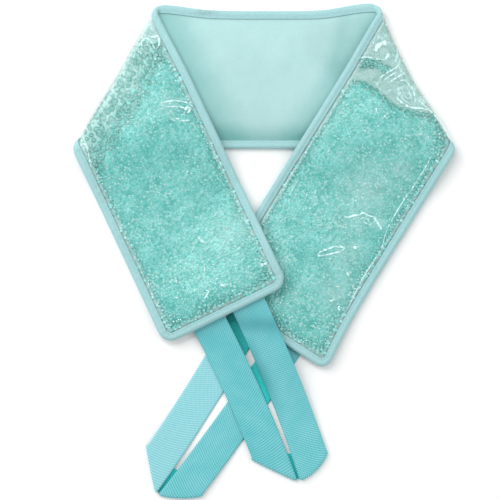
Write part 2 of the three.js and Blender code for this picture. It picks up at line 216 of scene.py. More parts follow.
def fill_share(s, v):
    """The share with the empty patch: times a smooth disc near the right fold's upper end."""
    patch = RIGHT["foot"][0] + RIGHT["tilt"] * half + PATCH_SHIFT * PAD_WIDTH
    near = np.hypot(s - patch, v - half) / PAD_WIDTH
    return full_share(s, v) * smooth((near - PATCH_RADIUS) / PATCH_BLEND)


def fill_depth(s, v):
    """The bead mass's depth in millimetres."""
    return mix(FILL_RIM, FILL_DEPTH, fill_share(s, v))


def over_fill(s, v):
    """The height of the film's inner face over the plush's glued face."""
    return GAP + fill_depth(s, v) + GAP


# %% [markdown]
# ## How a layer climbs over another
# Soft layers don't step. One that runs over another leaves the table early and is at full height
# a little past the other's edge. The back section hangs forward slightly between its folds.

# %% Heights of the stacked layers
rise_band = 0.6 * half
climb_out = 0.9 * half
climb_in = 0.4 * half


def rim_rise(s, v):
    """How far the filling lifts the rim beside it: a smooth ramp over a band inside the edge."""
    return EDGE_RISE * (1 - smooth(from_edge(s, v) / rise_band))


def back_height(s, v):
    """The height of the back section's glued face, whose film lies on the table."""
    return over_fill(s, v) + FILM_THICKNESS + rim_rise(s, v)


def climb(height, inside):
    """A smooth ramp from the table to height, as a point comes inside the lower layer's edge."""
    return height * smooth((inside + climb_out) / (climb_out + climb_in))


def inside_arm(arm, x, y):
    """The distance of a table point inside an arm's outline, negative outside it."""
    dx = x - arm["end"][0]
    dy = y - arm["end"][1]
    side = np.abs(dx * arm["across"][0] + dy * arm["across"][1]) - half
    end = dx * arm["reach"][0] + dy * arm["reach"][1]
    outside = np.hypot(np.maximum(side, 0), np.maximum(end, 0))
    return -(outside + np.minimum(np.maximum(side, end), 0))


def under_loop(name, x, y):
    """What lies under a loop and its arm: nothing on the right, the right arm on the left."""
    if name == "right":
        return 0 * x
    lifted = pad_height + WEBBING_THICKNESS + GAP + SLACK
    return climb(lifted, inside_arm(RIGHT, x, y))


SEATS = {"right": on_table, "left": on_table + WEBBING_THICKNESS + GAP}


def arm_height(name, s, v, x, y, fold_height):
    """The height of an arm's glued face: the fold's height near the fold, then draped over the
    back's lower edge and the other arm, and lifted over its own loop at the end."""
    arm = ARMS[name]
    over_back = climb(pad_height + SLACK, y + half)
    drape = np.maximum(over_back, under_loop(name, x, y))
    own_rise = rim_rise(s, v) * clamp01(1 - drape / pad_height)
    loop_top = SEATS[name] + WEBBING_THICKNESS / 2 + 3 * GAP
    near_loop = (np.abs(arm["tip"] - s) - WEBBING_OVERLAP - GAP) / climb_out
    lift = loop_top * (1 - smooth(near_loop))
    away = (past_fold(arm, s, v) - bend_half) / (PINCH[name][1] * PAD_WIDTH)
    return mix(fold_height, deepest + drape + own_rise + lift, smooth(away))


def sag(s):
    """How far the back section hangs forward: a smooth hump between the folds' upper ends."""
    upper_fold = BACK_LENGTH / 2 - half * abs(LEFT["tilt"])
    return BACK_SAG * smooth(2 * clamp01(1 - np.abs(s) / upper_fold))


def fold_shift(arm, s, v):
    """How a point near a fold is moved: drawn in by a parabola across the strip, and out and up
    along the fold at its upper end."""
    near = 1 - smooth(np.abs(past_fold(arm, s, v)) / half)
    upper = near * smooth(v / half)
    outwards = arm["flare"] * upper - near * FOLD_HOLLOW * (1 - (v / half) ** 2)
    return arm["out"] * outwards[..., None] + arm["along"] * (arm["creep"] * upper)[..., None]


# %% [markdown]
# ## Folding the strip
# This one function lays any point of the flat strip on the table. s runs along the strip, v
# across it, and h off the plush's glued face towards the beads. Round a fold the strip follows
# half a cylinder. As every layer goes through the same function, none cuts into another.

# %% The layout
def lay(s, v, h):
    """The point on the table of a flat strip's point. On the back: (s, v less the sag, height
    less h). In a fold: half a turn about the fold's axis. On an arm: mirrored over the fold line,
    then sheared and bent a little towards its end."""
    s, v, h = np.broadcast_arrays(s, v, h)
    flat = np.stack([s, v - sag(s)], -1)
    for arm in ARMS.values():
        flat = flat + fold_shift(arm, s, v)
    placed = with_height(flat, back_height(s, v) - h)
    for name, arm in ARMS.items():
        past = past_fold(arm, s, v)
        place = (s - arm["foot"][0]) * arm["along"][0] + v * arm["along"][1]
        start = arm["foot"] + arm["along"] * place[..., None] - arm["out"] * bend_half
        turn = clamp01((past + bend_half) / (2 * bend_half)) * np.pi
        axis = back_height(start[..., 0], start[..., 1]) + fold_radius
        p = start - arm["along"] * (arm["slide"] * turn / np.pi)[..., None]
        p = p + fold_shift(arm, s, v)
        swing = (fold_radius + h) * np.sin(turn)
        bent = p + arm["out"] * swing[..., None]
        bent_z = axis - (fold_radius + h) * np.cos(turn)
        share = np.abs(s - arm["foot"][0]) / arm["length"]
        shear = np.tan(np.radians(END_SKEW)) * v * smooth(share)
        over = p + arm["out"] * (bend_half - past)[..., None] + arm["reach"] * shear[..., None]
        over = over + arm["across"] * (arm["curl"] * clamp01(share) ** CURL_POWER)[..., None]
        over_z = h + arm_height(name, s, v, over[..., 0], over[..., 1], axis + fold_radius)
        bent, over = with_height(bent, bent_z), with_height(over, over_z)
        moved = np.where((past < bend_half)[..., None], bent, over)
        placed = np.where((past > -bend_half)[..., None], moved, placed)
    return placed


# %% [markdown]
# ## Rows and columns
# The strip gets rows that cross it, along the fold line at the folds and square to it at the
# ends, so that no facet bridges a fold. They are close together in the folds.

# %% The strip's grid
square_end = fill_start * 3  # the rows are square to the strip this close to its ends
fold_reach = TAPE_LEG * 2  # and follow the fold this close to it


def row_tilt(middle):
    """The slope of the row at a place on the middle line: the fold's own tilt near a fold, and
    from there a straight blend to the other fold or to square at the end."""
    tilt = mix(
        LEFT["tilt"],
        RIGHT["tilt"],
        clamp01((middle - LEFT["foot"][0] - fold_reach) / (BACK_LENGTH - 2 * fold_reach)),
    )
    for arm in ARMS.values():
        from_foot = (middle - arm["foot"][0]) * arm["side"]
        room = arm["length"] - square_end
        fade = clamp01((room - from_foot) / (room - fold_reach))
        beyond = np.where(from_foot > fold_reach, arm["tilt"] * fade, arm["tilt"])
        tilt = np.where(from_foot > -fold_reach, beyond, tilt)
    return tilt


def strip_rows(step, inset):
    """Places on the middle line, step apart, and a third of that in the folds."""
    ends = LEFT["tip"] + inset, RIGHT["tip"] - inset
    stops = [ends[0]]
    for arm in (LEFT, RIGHT):
        span = bend_half / abs(arm["out"][0])
        stops += [arm["foot"][0] - span, arm["foot"][0] + span]
    stops.append(ends[1])
    rows = []
    for k, (a, b) in enumerate(zip(stops, stops[1:])):
        fine = step / 3 if k in (1, 3) else step
        rows.append(np.linspace(a, b, max(2, round((b - a) / fine) + 1))[:-1])
    return np.concatenate([*rows, [ends[1]]])


def half_at(s, inset):
    """Half the width of a layer that starts inset inside the rim, with its rounded corners."""
    radius = max(0.0, CORNER_RADIUS - inset)
    into = np.clip(from_end(s) - inset, 0, radius)
    return half - inset - radius + np.sqrt(radius**2 - (radius - into) ** 2)


def strip_grid(step, inset, columns):
    """The grid's two flat coordinates: rows along the strip, columns across it. The columns lie
    closer together towards the edges, as the sine of evenly spaced angles."""
    middle = strip_rows(step, inset)[:, None]
    shares = np.sin(np.linspace(-np.pi / 2, np.pi / 2, columns)) * 0.35
    shares = shares + np.linspace(-1, 1, columns) * 0.65
    v = shares[None, :] * half_at(middle, inset)
    return middle + row_tilt(middle) * v, v


# %% Paths and ripples
def along_path(x, y):
    """The length along a path of places, from its first one."""
    return np.concatenate([[0], np.cumsum(np.hypot(np.diff(x), np.diff(y)))])


def ripple(s, v, wavelength, seed, waves=14):
    """Soft unevenness between about -1 and 1: a sum of cosines of about one wavelength, in random
    directions and phases that the seed fixes."""
    random = np.random.default_rng(seed)
    angle = random.uniform(0, 2 * np.pi, waves)
    phase = random.uniform(0, 2 * np.pi, waves)
    number = 2 * np.pi / (wavelength * random.uniform(0.7, 1.4, waves))
    total = 0.0 * s
    for a, p, k in zip(angle, phase, number):
        total = total + np.cos(k * (s * np.cos(a) + v * np.sin(a)) + p)
    return total / np.sqrt(2 * waves)


# %% [markdown]
# ## From numbers to meshes
# A grid of points becomes a mesh with four-sided faces. A cloth is a shell: its upper grid, its
# lower grid, and a rim that joins them, so that it is closed and its faces point outwards.

# %% Mesh helpers
def outwards(points, faces):
    """The faces of a closed mesh, turned round if its volume is negative. The volume is the sum
    of the tetrahedra from the origin to each face."""
    a, b, c = (points[faces[:, k]] for k in range(3))
    volume = (a * np.cross(b, c)).sum() / 6
    if faces.shape[1] == 4:
        volume += (a * np.cross(c, points[faces[:, 3]])).sum() / 6
    return faces if volume > 0 else faces[:, ::-1]


def add_piece(name, points, faces, material, uv=None, values=None):
    """A smooth mesh object from points in millimetres and faces, which rides on the root."""
    faces = outwards(points.reshape(-1, 3), faces)
    mesh = bpy.data.meshes.new(name)
    mesh.from_pydata(points.reshape(-1, 3) * MM, [], faces.tolist())
    mesh.polygons.foreach_set("use_smooth", np.ones(len(mesh.polygons), bool))
    if uv is not None:
        corner = np.empty(len(mesh.loops), np.int32)
        mesh.loops.foreach_get("vertex_index", corner)
        layer = mesh.uv_layers.new(name="UVMap")
        layer.data.foreach_set("uv", uv.reshape(-1, 2)[corner].ravel())
    for key, value in (values or {}).items():
        attribute = mesh.attributes.new(key, "FLOAT", "POINT")
        attribute.data.foreach_set("value", np.ascontiguousarray(value, np.float32).ravel())
    mesh.materials.append(material)
    mesh.update()
    piece = bpy.data.objects.new(name, mesh)
    bpy.context.scene.collection.objects.link(piece)
    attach(piece, "root")
    print(name, len(points.reshape(-1, 3)), "points,", len(faces), "faces")
    return piece


def grid_faces(rows, columns, closed=False):
    """Four-sided faces of a grid, across before along. closed joins the last row to the first."""
    i = np.arange(rows if closed else rows - 1)[:, None]
    j = np.arange(columns - 1)[None, :]
    k = (i + 1) % rows
    corners = [i * columns + j, i * columns + j + 1, k * columns + j + 1, k * columns + j]
    return np.stack([c + 0 * (i + j) for c in corners], -1).reshape(-1, 4)


def grid_rim(rows, columns):
    """The indices round a grid's edge, in the direction that its faces use."""
    index = np.arange(rows * columns).reshape(rows, columns)
    return np.concatenate([index[0, :-1], index[:-1, -1], index[-1, :0:-1], index[:0:-1, 0]])


def shell(top, under):
    """The points and faces of a closed cloth between two grids of the same shape."""
    rows, columns = top.shape[:2]
    count = rows * columns
    faces = grid_faces(rows, columns)
    rim = grid_rim(rows, columns)
    after = np.roll(rim, -1)
    wall = np.stack([after, rim, rim + count, after + count], -1)
    points = np.concatenate([top.reshape(-1, 3), under.reshape(-1, 3)])
    return points, np.concatenate([faces, faces[:, ::-1] + count, wall])


def add_cloth(name, top, under, material, values, flat=None):
    """A cloth piece between two grids. Both carry the same flat places and the same values."""
    points, faces = shell(top, under)
    uv = None if flat is None else np.stack([flat, flat])
    values = {key: np.stack([value, value]) for key, value in values.items()}
    return add_piece(name, points, faces, material, uv=uv, values=values)


# %% [markdown]
# ## Making materials
# A material is a small network of nodes. We write a helper that adds one node and either sets or
# links each of its inputs, and give colours as they look on screen, turned into linear light.

# %% Nodes and materials
def linear(red, green, blue):
    """A screen colour from 0 to 255 as linear light, by the sRGB curve."""
    c = np.array([red, green, blue]) / 255
    light = np.where(c <= 0.04045, c / 12.92, ((c + 0.055) / 1.055) ** 2.4)
    return (*light.tolist(), 1.0)


def add_node(material, kind, inputs=None, **settings):
    """A node in a material. inputs maps a socket's name or number to a value, or to a socket."""
    tree = material.node_tree
    node = tree.nodes.new(kind)
    for key, value in settings.items():
        setattr(node, key, value)
    for key, value in (inputs or {}).items():
        if isinstance(value, bpy.types.NodeSocket):
            tree.links.new(value, node.inputs[key])
        else:
            node.inputs[key].default_value = value
    return node


def new_material(name):
    """An empty material with its output node."""
    material = bpy.data.materials.new(name)
    material.use_nodes = True
    material.node_tree.nodes.clear()
    return material, add_node(material, "ShaderNodeOutputMaterial")


# %% Patterns and colours
def noise(material, vector, scale, detail=2.0, roughness=0.5):
    """A cloudy pattern from 0 to 1, with scale cells to the unit of its vector."""
    inputs = {"Vector": vector, "Scale": scale, "Detail": detail, "Roughness": roughness}
    return add_node(material, "ShaderNodeTexNoise", inputs).outputs["Fac"]


def blend_colours(material, fac, a, b):
    """The colour a where fac is 0 and b where it is 1."""
    node = add_node(material, "ShaderNodeMix", {"Factor": fac}, data_type="RGBA")
    for socket, value in ((node.inputs[6], a), (node.inputs[7], b)):
        if isinstance(value, bpy.types.NodeSocket):
            material.node_tree.links.new(value, socket)
        else:
            socket.default_value = value
    return node.outputs[2]


def ramp(material, value, low, high, to_low=0.0, to_high=1.0):
    """value from low to high, remapped between two numbers and clamped."""
    inputs = {0: value, 1: low, 2: high, 3: to_low, 4: to_high}
    return add_node(material, "ShaderNodeMapRange", inputs).outputs[0]


def blend_by(material, pattern, low, high, a, b):
    """The colour a where a pattern is under low, and b where it is over high."""
    return blend_colours(material, ramp(material, pattern, low, high), a, b)


def maths(material, operation, a, b=0.0):
    """One sum on two numbers or sockets."""
    return add_node(material, "ShaderNodeMath", {0: a, 1: b}, operation=operation).outputs[0]


def times(material, a, b):
    """The product of two numbers or sockets."""
    return maths(material, "MULTIPLY", a, b)


def bump(material, height, distance, strength=1.0, normal=None):
    """A normal tilted by a height pattern. distance is the pattern's height in metres."""
    inputs = {"Height": height, "Distance": distance, "Strength": strength}
    if normal is not None:
        inputs["Normal"] = normal
    return add_node(material, "ShaderNodeBump", inputs).outputs[0]


# %% What a material reads, and how it ends
def object_place(material):
    """Where a point lies, in the object's own coordinates, in metres."""
    return add_node(material, "ShaderNodeTexCoord").outputs["Object"]


def flat_place(material):
    """Where a point lies on the piece's own UV map, in millimetres of the flat cloth."""
    return add_node(material, "ShaderNodeUVMap", uv_map="UVMap").outputs[0]


def carried(material, name):
    """The number that the mesh carries at a point under this name."""
    return add_node(material, "ShaderNodeAttribute", attribute_name=name).outputs["Fac"]


def surface(material, output, shader):
    """Connects a shader to the material's output, and returns the material."""
    material.node_tree.links.new(shader.outputs[0], output.inputs["Surface"])
    return material


def mix_shaders(material, share, a, b):
    """The shader a where share is 0, and b where it is 1."""
    inputs = {0: share, 1: a.outputs[0], 2: b.outputs[0]}
    return add_node(material, "ShaderNodeMixShader", inputs)


def principled(material, output, inputs):
    """Ends a material with one principled shader, and returns it."""
    return surface(material, output, add_node(material, "ShaderNodeBsdfPrincipled", inputs))


# %% [markdown]
# ## The plush
# The back is a short, dense pile. Its nap lies in soft patches that reflect differently, so the
# colour drifts a little over a few centimetres, and fine noise stands for the tufts' ends.

# %% The plush material
def plush_material():
    """Pale blue-green pile: cloudy nap colour, fine tuft bumps, a sheen, and painted shade."""
    material, output = new_material("plush")
    place = object_place(material)
    nap = noise(material, place, 38.0, 4.0, 0.62)
    tufts = noise(material, place, 900.0, 3.0, 0.7)
    colour = blend_by(material, nap, 0.3, 0.7, linear(174, 211, 210), linear(188, 222, 221))
    colour = blend_by(material, tufts, 0.25, 0.75, linear(170, 214, 212), colour)
    # Painted shade: the pile turns darker where the mesh carries it.
    painted_shade = carried(material, "painted_shade")
    colour = blend_colours(material, painted_shade, colour, linear(122, 182, 179))
    inputs = {
        "Base Color": colour,
        "Roughness": 0.95,
        "Sheen Weight": 0.35,
        "Sheen Roughness": 0.4,
        "Sheen Tint": linear(225, 246, 245),
        "Normal": bump(material, tufts, 0.0007, 0.6),
    }
    return principled(material, output, inputs)


# %% [markdown]
# The plush is a shell from its glued face to the tips of the pile. It is crushed flat where the
# binding's seam holds it, and rises beside the seam within a few millimetres.

# %% The plush piece
PLUSH_STEP = 2.6
PLUSH_COLUMNS = 49
LOWER_REACH = 20  # how far the painted shade on the pile reaches from the lower edge
BESIDE_REACH = 34  # and from both arms
# The painted shade of a soft vertical buckle: its place across the table and width in millimetres,
# and its lean.
BUCKLE_AT, BUCKLE_LEAN, BUCKLE_WIDTH = 66, 0.25, 7


def plush_reach(s, v):
    """The pile's height: sewn at the rim, full a little inside the binding, and slightly uneven."""
    rise = smooth((from_rim(s, v) - TAPE_LEG + 1) / 5)
    return mix(PLUSH_SEWN, PLUSH_PILE - 0.12 * np.abs(ripple(s, v, 9, seed=3)), rise)


def plush_painted_shade(s, v):
    """How much painted shade the pile gets: along the back's lower edge, beside both arms, and where
    a soft vertical buckle near the right arm would fall in shade."""
    place = lay(s, v, 0.0)
    x, y = place[..., 0], place[..., 1]
    lower = 1 - smooth((v + half - TAPE_LEG) / LOWER_REACH)
    left = 1 - smooth((-inside_arm(LEFT, x, y) - 2) / BESIDE_REACH)
    right = 1 - smooth((-inside_arm(RIGHT, x, y) - 2) / BESIDE_REACH)
    off_buckle = (x - BUCKLE_LEAN * (y - 30) - BUCKLE_AT) / BUCKLE_WIDTH
    buckle = np.exp(-(off_buckle**2)) * smooth((y + 20) / 30)
    dark = 0.75 * lower + 0.8 * left + 0.7 * right + 0.35 * buckle
    dark = dark + 0.07 * ripple(s, v, 30, seed=12) + 0.04 * ripple(s, v, 9, seed=13)
    return clamp01(dark * np.where(past_folds(s, v) < 0, 0.8, 0.3))


s, v = strip_grid(PLUSH_STEP, tape_start, PLUSH_COLUMNS)
pile_tips = lay(s, v, -plush_reach(s, v))
# The pile carries its painted shade.
values = {"painted_shade": plush_painted_shade(s, v)}
plush = add_cloth("plush_back", lay(s, v, 0.0), pile_tips, plush_material(), values)
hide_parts("plush_backing")

# %% [markdown]
# ## Where the pouch is empty
# On the real wrap the beads end in a clear line across the right arm's upper corner, with a small
# island of beads above it, and the left arm has a small clear pocket at each end of its fold. We
# draw these shores as places in the view from above, and measure how far inside them a point lies,
# so that beads, bed and film all end at the same line.

# %% The view from above
VIEW_SCALE = 0.92  # millimetres of the table to one pixel of the view
VIEW_ORIGIN = (266.5, 75.5)  # the pixel over the middle of the strip


def table_place(pixels):
    """Places of the view from above, in millimetres on the table."""
    p = np.asarray(pixels, float)
    x = (p[..., 0] - VIEW_ORIGIN[0]) * VIEW_SCALE
    return np.stack([x, (VIEW_ORIGIN[1] - p[..., 1]) * VIEW_SCALE], -1)


def distance_to_line(points, line):
    """The distance of each point to the nearest stretch of a line of places."""
    a, b = line[:-1], line[1:]
    step = b - a
    t = ((points[:, None] - a) * step).sum(-1) / (step**2).sum(-1)
    nearest = a + step * clamp01(t)[..., None]
    return np.linalg.norm(points[:, None] - nearest, axis=-1).min(1)


# %% The shore of the beads
# The edge of the beads round the empty patch, and the island in it, in the view from above.
SHORE = [(318, 78), (346, 78), (356, 79), (366, 81), (374, 86), (382, 93), (392, 101), (403, 107)]
SHORE = SHORE + [(416, 110), (430, 112), (438, 121), (444, 132), (452, 148), (470, 170)]
ISLAND = [(361, 66), (368, 62), (377, 64), (386, 69)]
ISLAND_HALF = 4.6
# The left arm's clear pockets: above a level at the top, and past a line at the left corner.
LEFT_LEVEL = 38
LEFT_CORNER = [(70, 120), (79, 130), (84, 140), (87, 155), (89, 172), (80, 180)]


def ashore(s, v):
    """How far inside the beads' edge a point of an arm lies, in millimetres. On the right arm it
    is below the shore line or on the island, and on the left arm clear of both pockets."""
    table = lay(s, v, 0.0)[..., :2]
    shore = table_place(SHORE)
    level = np.interp(table[..., 0], shore[:, 0], shore[:, 1])
    below = distance_to_line(table.reshape(-1, 2), shore).reshape(s.shape)
    below = np.where(table[..., 1] < level, below, -below)
    island = distance_to_line(table.reshape(-1, 2), table_place(ISLAND)).reshape(s.shape)
    inside = np.maximum(below, ISLAND_HALF - island)
    corner = table_place(LEFT_CORNER)[::-1]
    past_corner = table[..., 0] - np.interp(table[..., 1], corner[:, 1], corner[:, 0])
    level = table_place([(0, LEFT_LEVEL)])[0, 1]
    on_left = np.minimum(level - table[..., 1], past_corner)
    return np.where(past_fold(LEFT, s, v) > past_fold(RIGHT, s, v), on_left, inside)


# %% How deep and how large the beads look
# All in millimetres on the flat strip.
FOLD_BLEND = 12  # past a fold, over which the empty patch gives way to the beads' own edge
SHORE_SLOPE = 8  # inside the beads' edge, over which they reach their full depth
LARGE_REACH = 10  # up the left arm, for the large beads
MEDIUM_REACH = 30  # and for the medium ones
RAGGED = 11  # the wavelength of the ragged borders between the sizes


def at_arm(s, v):
    """1 on the arms and 0 on the back: it changes in the half of each fold that faces down."""
    return smooth((past_folds(s, v) + bend_half) / bend_half)


def bead_share(s, v):
    """The share of the full depth that shows: on the arms it falls away at the beads' edge, and on
    the back it is the fill's own."""
    on_arm = smooth((past_folds(s, v) - bend_half) / FOLD_BLEND)
    edge = mix(1.0, smooth(ashore(s, v) / SHORE_SLOPE), at_arm(s, v))
    return mix(fill_share(s, v), full_share(s, v), on_arm) * edge


def bead_depth(s, v):
    """The depth that shows, in millimetres."""
    return mix(FILL_RIM, FILL_DEPTH, bead_share(s, v))


def fold_band(s, v, reach):
    """1 in a band along the left fold, which ends about reach millimetres up the arm. The beads
    show large there under the stretched film."""
    past = past_fold(LEFT, s, v)
    return smooth((past + 12) / 6) * (1 - smooth((past - reach) / 10))


def rim_light(s, v):
    """1 beside the binding, where the light comes through the pouch's thin edge."""
    return 1 - smooth((from_edge(s, v) - TAPE_LEG - 1) / 6)


def bead_size_band(s, v):
    """Which size of bead a place holds: 2 large along the left fold, 1 medium beyond them and
    along the beads' edge, and 0 small elsewhere, with ragged borders."""
    at_fold = fold_band(s, v, LARGE_REACH) + 0.25 * ripple(s, v, RAGGED, seed=9) > 0.5
    border = ripple(s, v, RAGGED, seed=10)
    past = past_fold(LEFT, s, v) + 8 * border
    beyond = (past > 0) & (past < MEDIUM_REACH)
    at_edge = (ashore(s, v) + 2 * border < SHORE_SLOPE) & (at_arm(s, v) > 0.5) | beyond
    return np.where(at_fold, 2, np.where(at_edge, 1, 0))


# %% [markdown]
# ## The gel between the beads
# The pouch is full of small gel beads, and we only ever see the outer ones. Beads all the way
# down would cost millions of faces, so a solid bed stands for the deep ones, and the visible
# beads sit half sunk in it. Where the pouch is empty, the bed shows the pale plush behind.

# %% The gel bed material
def bed_material():
    """Deep teal gel with lighter bead-sized cells, grey-green where it is thin, and pale where
    the light comes through beside the binding and along the left fold."""
    material, output = new_material("gel_bed")
    flat = flat_place(material)
    inputs = {"Vector": flat, "Scale": 0.3, "Randomness": 0.8}
    cells = add_node(material, "ShaderNodeTexVoronoi", inputs).outputs["Distance"]
    clouds = noise(material, flat, 0.06, 3.0)
    deep = blend_by(material, cells, 0.1, 0.6, linear(110, 218, 211), linear(56, 176, 168))
    tint = blend_by(material, clouds, 0.35, 0.7, deep, linear(140, 224, 220))
    full = carried(material, "full")
    smears = ramp(material, noise(material, flat, 0.11, 4.0, 0.6), 0.35, 0.7)
    bare = blend_colours(material, smears, linear(150, 192, 188), linear(186, 217, 213))
    colour = blend_colours(material, full, bare, tint)
    pale = carried(material, "pale")
    colour = blend_colours(material, pale, colour, linear(204, 232, 229))
    inputs = {
        "Base Color": colour,
        "Roughness": 0.3,
        "Specular IOR Level": 0.5,
        "Normal": bump(material, cells, 0.0009, 0.5),
    }
    return principled(material, output, inputs)


# %% The gel bed piece
BEAD_PITCH = 3.35
BEAD_RADIUS = 1.85
BED_STEP = 2.4
BED_COLUMNS = 47
BED_START = TAPE_LEG + 0.9
BED_THINNEST = 0.2
FOLD_SUNK = 0.9  # how much deeper the bed lies along the left fold, under the large beads
SUNK_REACH = 26  # and how far up the arm

s, v = strip_grid(BED_STEP, BED_START, BED_COLUMNS)
depth = bead_depth(s, v)
sunk = 0.55 * BEAD_RADIUS + FOLD_SUNK * fold_band(s, v, SUNK_REACH)
top = lay(s, v, GAP + np.maximum(depth - sunk, BED_THINNEST))
full = smooth((bead_share(s, v) - 0.02) / 0.1)
full = np.maximum(full, at_arm(s, v) * smooth(ashore(s, v) / 3))
pale = np.maximum(0.45 * rim_light(s, v), 0.7 * fold_band(s, v, LARGE_REACH) * full)
flat = np.stack([s, v], -1)
values = {"full": full, "pale": pale}
bed = add_cloth("gel_bed", top, lay(s, v, GAP), bed_material(), values, flat)
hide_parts("bead_fill")

# %% [markdown]
# ## The beads
# Each bead is a small soft ball, pressed a little flat by the film. Thousands of them are needed,
# so each has only 32 faces: an eight-sided ball, with each side cut in four. They lie packed like
# cells of a honeycomb, nudged at random, and they follow the strip through the same layout. The
# stretched film makes them look large along the left fold, so there are three sizes.

# %% One bead
def ball():
    """The points and triangles of an octahedron with each face cut in four, on a unit sphere."""
    x, y, z = np.eye(3)
    corners = np.array([x, y, -x, -y, z, -z])
    triangles = []
    points = list(corners)
    middles = {}
    for pole in (4, 5):
        for k in range(4):
            a, b = k, (k + 1) % 4
            face = (a, b, pole) if pole == 4 else (b, a, pole)
            halfway = []
            for p, q in ((0, 1), (1, 2), (2, 0)):
                key = tuple(sorted((face[p], face[q])))
                if key not in middles:
                    middles[key] = len(points)
                    points.append(corners[key[0]] + corners[key[1]])
                halfway.append(middles[key])
            ab, bc, ca = halfway
            triangles += [(face[0], ab, ca), (face[1], bc, ab), (face[2], ca, bc), (ab, bc, ca)]
    points = np.array(points)
    return points / np.linalg.norm(points, axis=1, keepdims=True), np.array(triangles)


BALL_POINTS, BALL_FACES = ball()
print("one bead:", len(BALL_POINTS), "points,", len(BALL_FACES), "faces")

# %% Where the beads lie
BEADS_START = TAPE_LEG + 1.2  # inside the rim, in millimetres
LAMP_SIDE = np.array([-0.35, 0.94, 0.0])  # where the light comes from
LOWEST_BEADS = 2.4  # the depth that even the last beads take up, in millimetres
BEAD_SPREAD = (0.78, 1.18)  # the smallest and the largest share of the radius
BEAD_SQUASH = 0.8  # a bead's height as a share of its width
BEAD_SINK = 0.6  # how far a bead may lie under its neighbours, in millimetres
RIM_PALE = 0.25  # how much painted light brightens the beads beside the binding


def honeycomb(pitch, seed, nudge):
    """Places on the flat strip in a honeycomb of that pitch, each nudged by a share of it."""
    random = np.random.default_rng(seed)
    columns = np.arange(-half, half, pitch * np.sqrt(3) / 2)
    rows = np.arange(LEFT["tip"], RIGHT["tip"], pitch)
    s, v = np.meshgrid(rows, columns, indexing="ij")
    s = s + pitch / 2 * (np.arange(len(columns)) % 2)
    s = s + random.uniform(-nudge, nudge, s.shape) * pitch
    v = v + random.uniform(-nudge, nudge, s.shape) * pitch
    return s.ravel(), v.ravel()


def bead_places(pitch, seed, band, nudge=0.34):
    """The honeycomb's places that hold beads of one size: inside the pouch and inside the beads'
    edge."""
    s, v = honeycomb(pitch, seed, nudge)
    inside = from_edge(s, v) > BEADS_START
    stocked = np.where(at_arm(s, v) > 0.5, ashore(s, v) > 0.6, fill_share(s, v) > 0.07)
    keep = inside & stocked & (bead_size_band(s, v) == band)
    return s[keep], v[keep]


# %% A heap of beads
def bead_heap(name, s, v, radius, finish, seed):
    """One mesh of beads: every ball's points are offset in the flat strip and then laid out. Gel
    bends the light, so a bead looks darker on the lamp's side and lighter on the far one."""
    random = np.random.default_rng(seed)
    count = len(s)
    depth = np.maximum(bead_depth(s, v), LOWEST_BEADS)
    size = np.minimum(radius * random.uniform(*BEAD_SPREAD, count), depth / 1.2)
    squash = np.minimum(BEAD_SQUASH, depth / (2 * size))
    centre = GAP + depth - size * squash
    centre = centre - BEAD_SINK * random.uniform(0, 1, count) ** 2
    centre = np.maximum(centre, GAP + size * squash)
    ball = BALL_POINTS[None] * size[:, None, None]
    points = lay(
        s[:, None] + ball[..., 0],
        v[:, None] + ball[..., 1],
        centre[:, None] + ball[..., 2] * squash[:, None],
    )
    faces = BALL_FACES[None, :, ::-1] + np.arange(count)[:, None, None] * len(BALL_POINTS)
    # Painted light and shade: a bead is paler beside the binding, and its rise makes it deep low down
    # and on the lamp's side.
    light = RIM_PALE * rim_light(s, v)
    tone = np.repeat(random.uniform(0, 1, count) + light, len(BALL_POINTS))
    middle = points.mean(1, keepdims=True)
    up_left = ((points - middle) @ LAMP_SIDE) / size[:, None]
    rise = (points[..., 2] - middle[..., 2]) / size[:, None] / 2 + 0.5 - 0.45 * up_left
    values = {"tone": tone, "rise": rise + light[:, None]}
    return add_piece(name, points, faces.reshape(-1, 3), finish, values=values)


# %% The beads' material
def bead_material(name, deep, dull, pale, bright):
    """Wet teal gel: each bead has its own tone between dull and pale or bright, and painted shade
    makes it deep low down between its neighbours and on the lamp's side."""
    material, output = new_material(name)
    tone = carried(material, "tone")
    rise = carried(material, "rise")
    place = object_place(material)
    clouds = ramp(material, noise(material, place, 45.0, 3.0), 0.35, 0.68)
    lit = blend_colours(material, clouds, linear(*pale), linear(*bright))
    one = blend_by(material, tone, 0.1, 0.95, linear(*dull), lit)
    # Painted shade: the deep colour where a bead's rise is low.
    colour = blend_by(material, rise, 0.35, 0.95, linear(*deep), one)
    inputs = {
        "Base Color": colour,
        "Roughness": 0.12,
        "Specular IOR Level": 0.7,
        "Coat Weight": 0.5,
        "Coat Roughness": 0.05,
    }
    return principled(material, output, inputs)


# %% The bead pieces
MEDIUM_PITCH, MEDIUM_RADIUS = 4.2, 2.3
LARGE_PITCH, LARGE_RADIUS, LARGE_NUDGE = 6.2, 3.6, 0.18
# Each size's colours: deep is the painted shade low down on a bead; dull, pale and bright are its own
# tones.
SMALL = dict(deep=(54, 171, 165), dull=(88, 202, 197), pale=(148, 228, 225), bright=(202, 245, 244))
MEDIUM = dict(deep=(50, 146, 140), dull=(94, 184, 178), pale=(144, 212, 207), bright=(200, 240, 237))
LARGE = dict(deep=(84, 164, 158), dull=(112, 186, 180), pale=(146, 206, 200), bright=(190, 232, 228))
small_finish = bead_material("gel_beads", **SMALL)
medium_finish = bead_material("gel_beads_medium", **MEDIUM)
large_finish = bead_material("gel_beads_large", **LARGE)

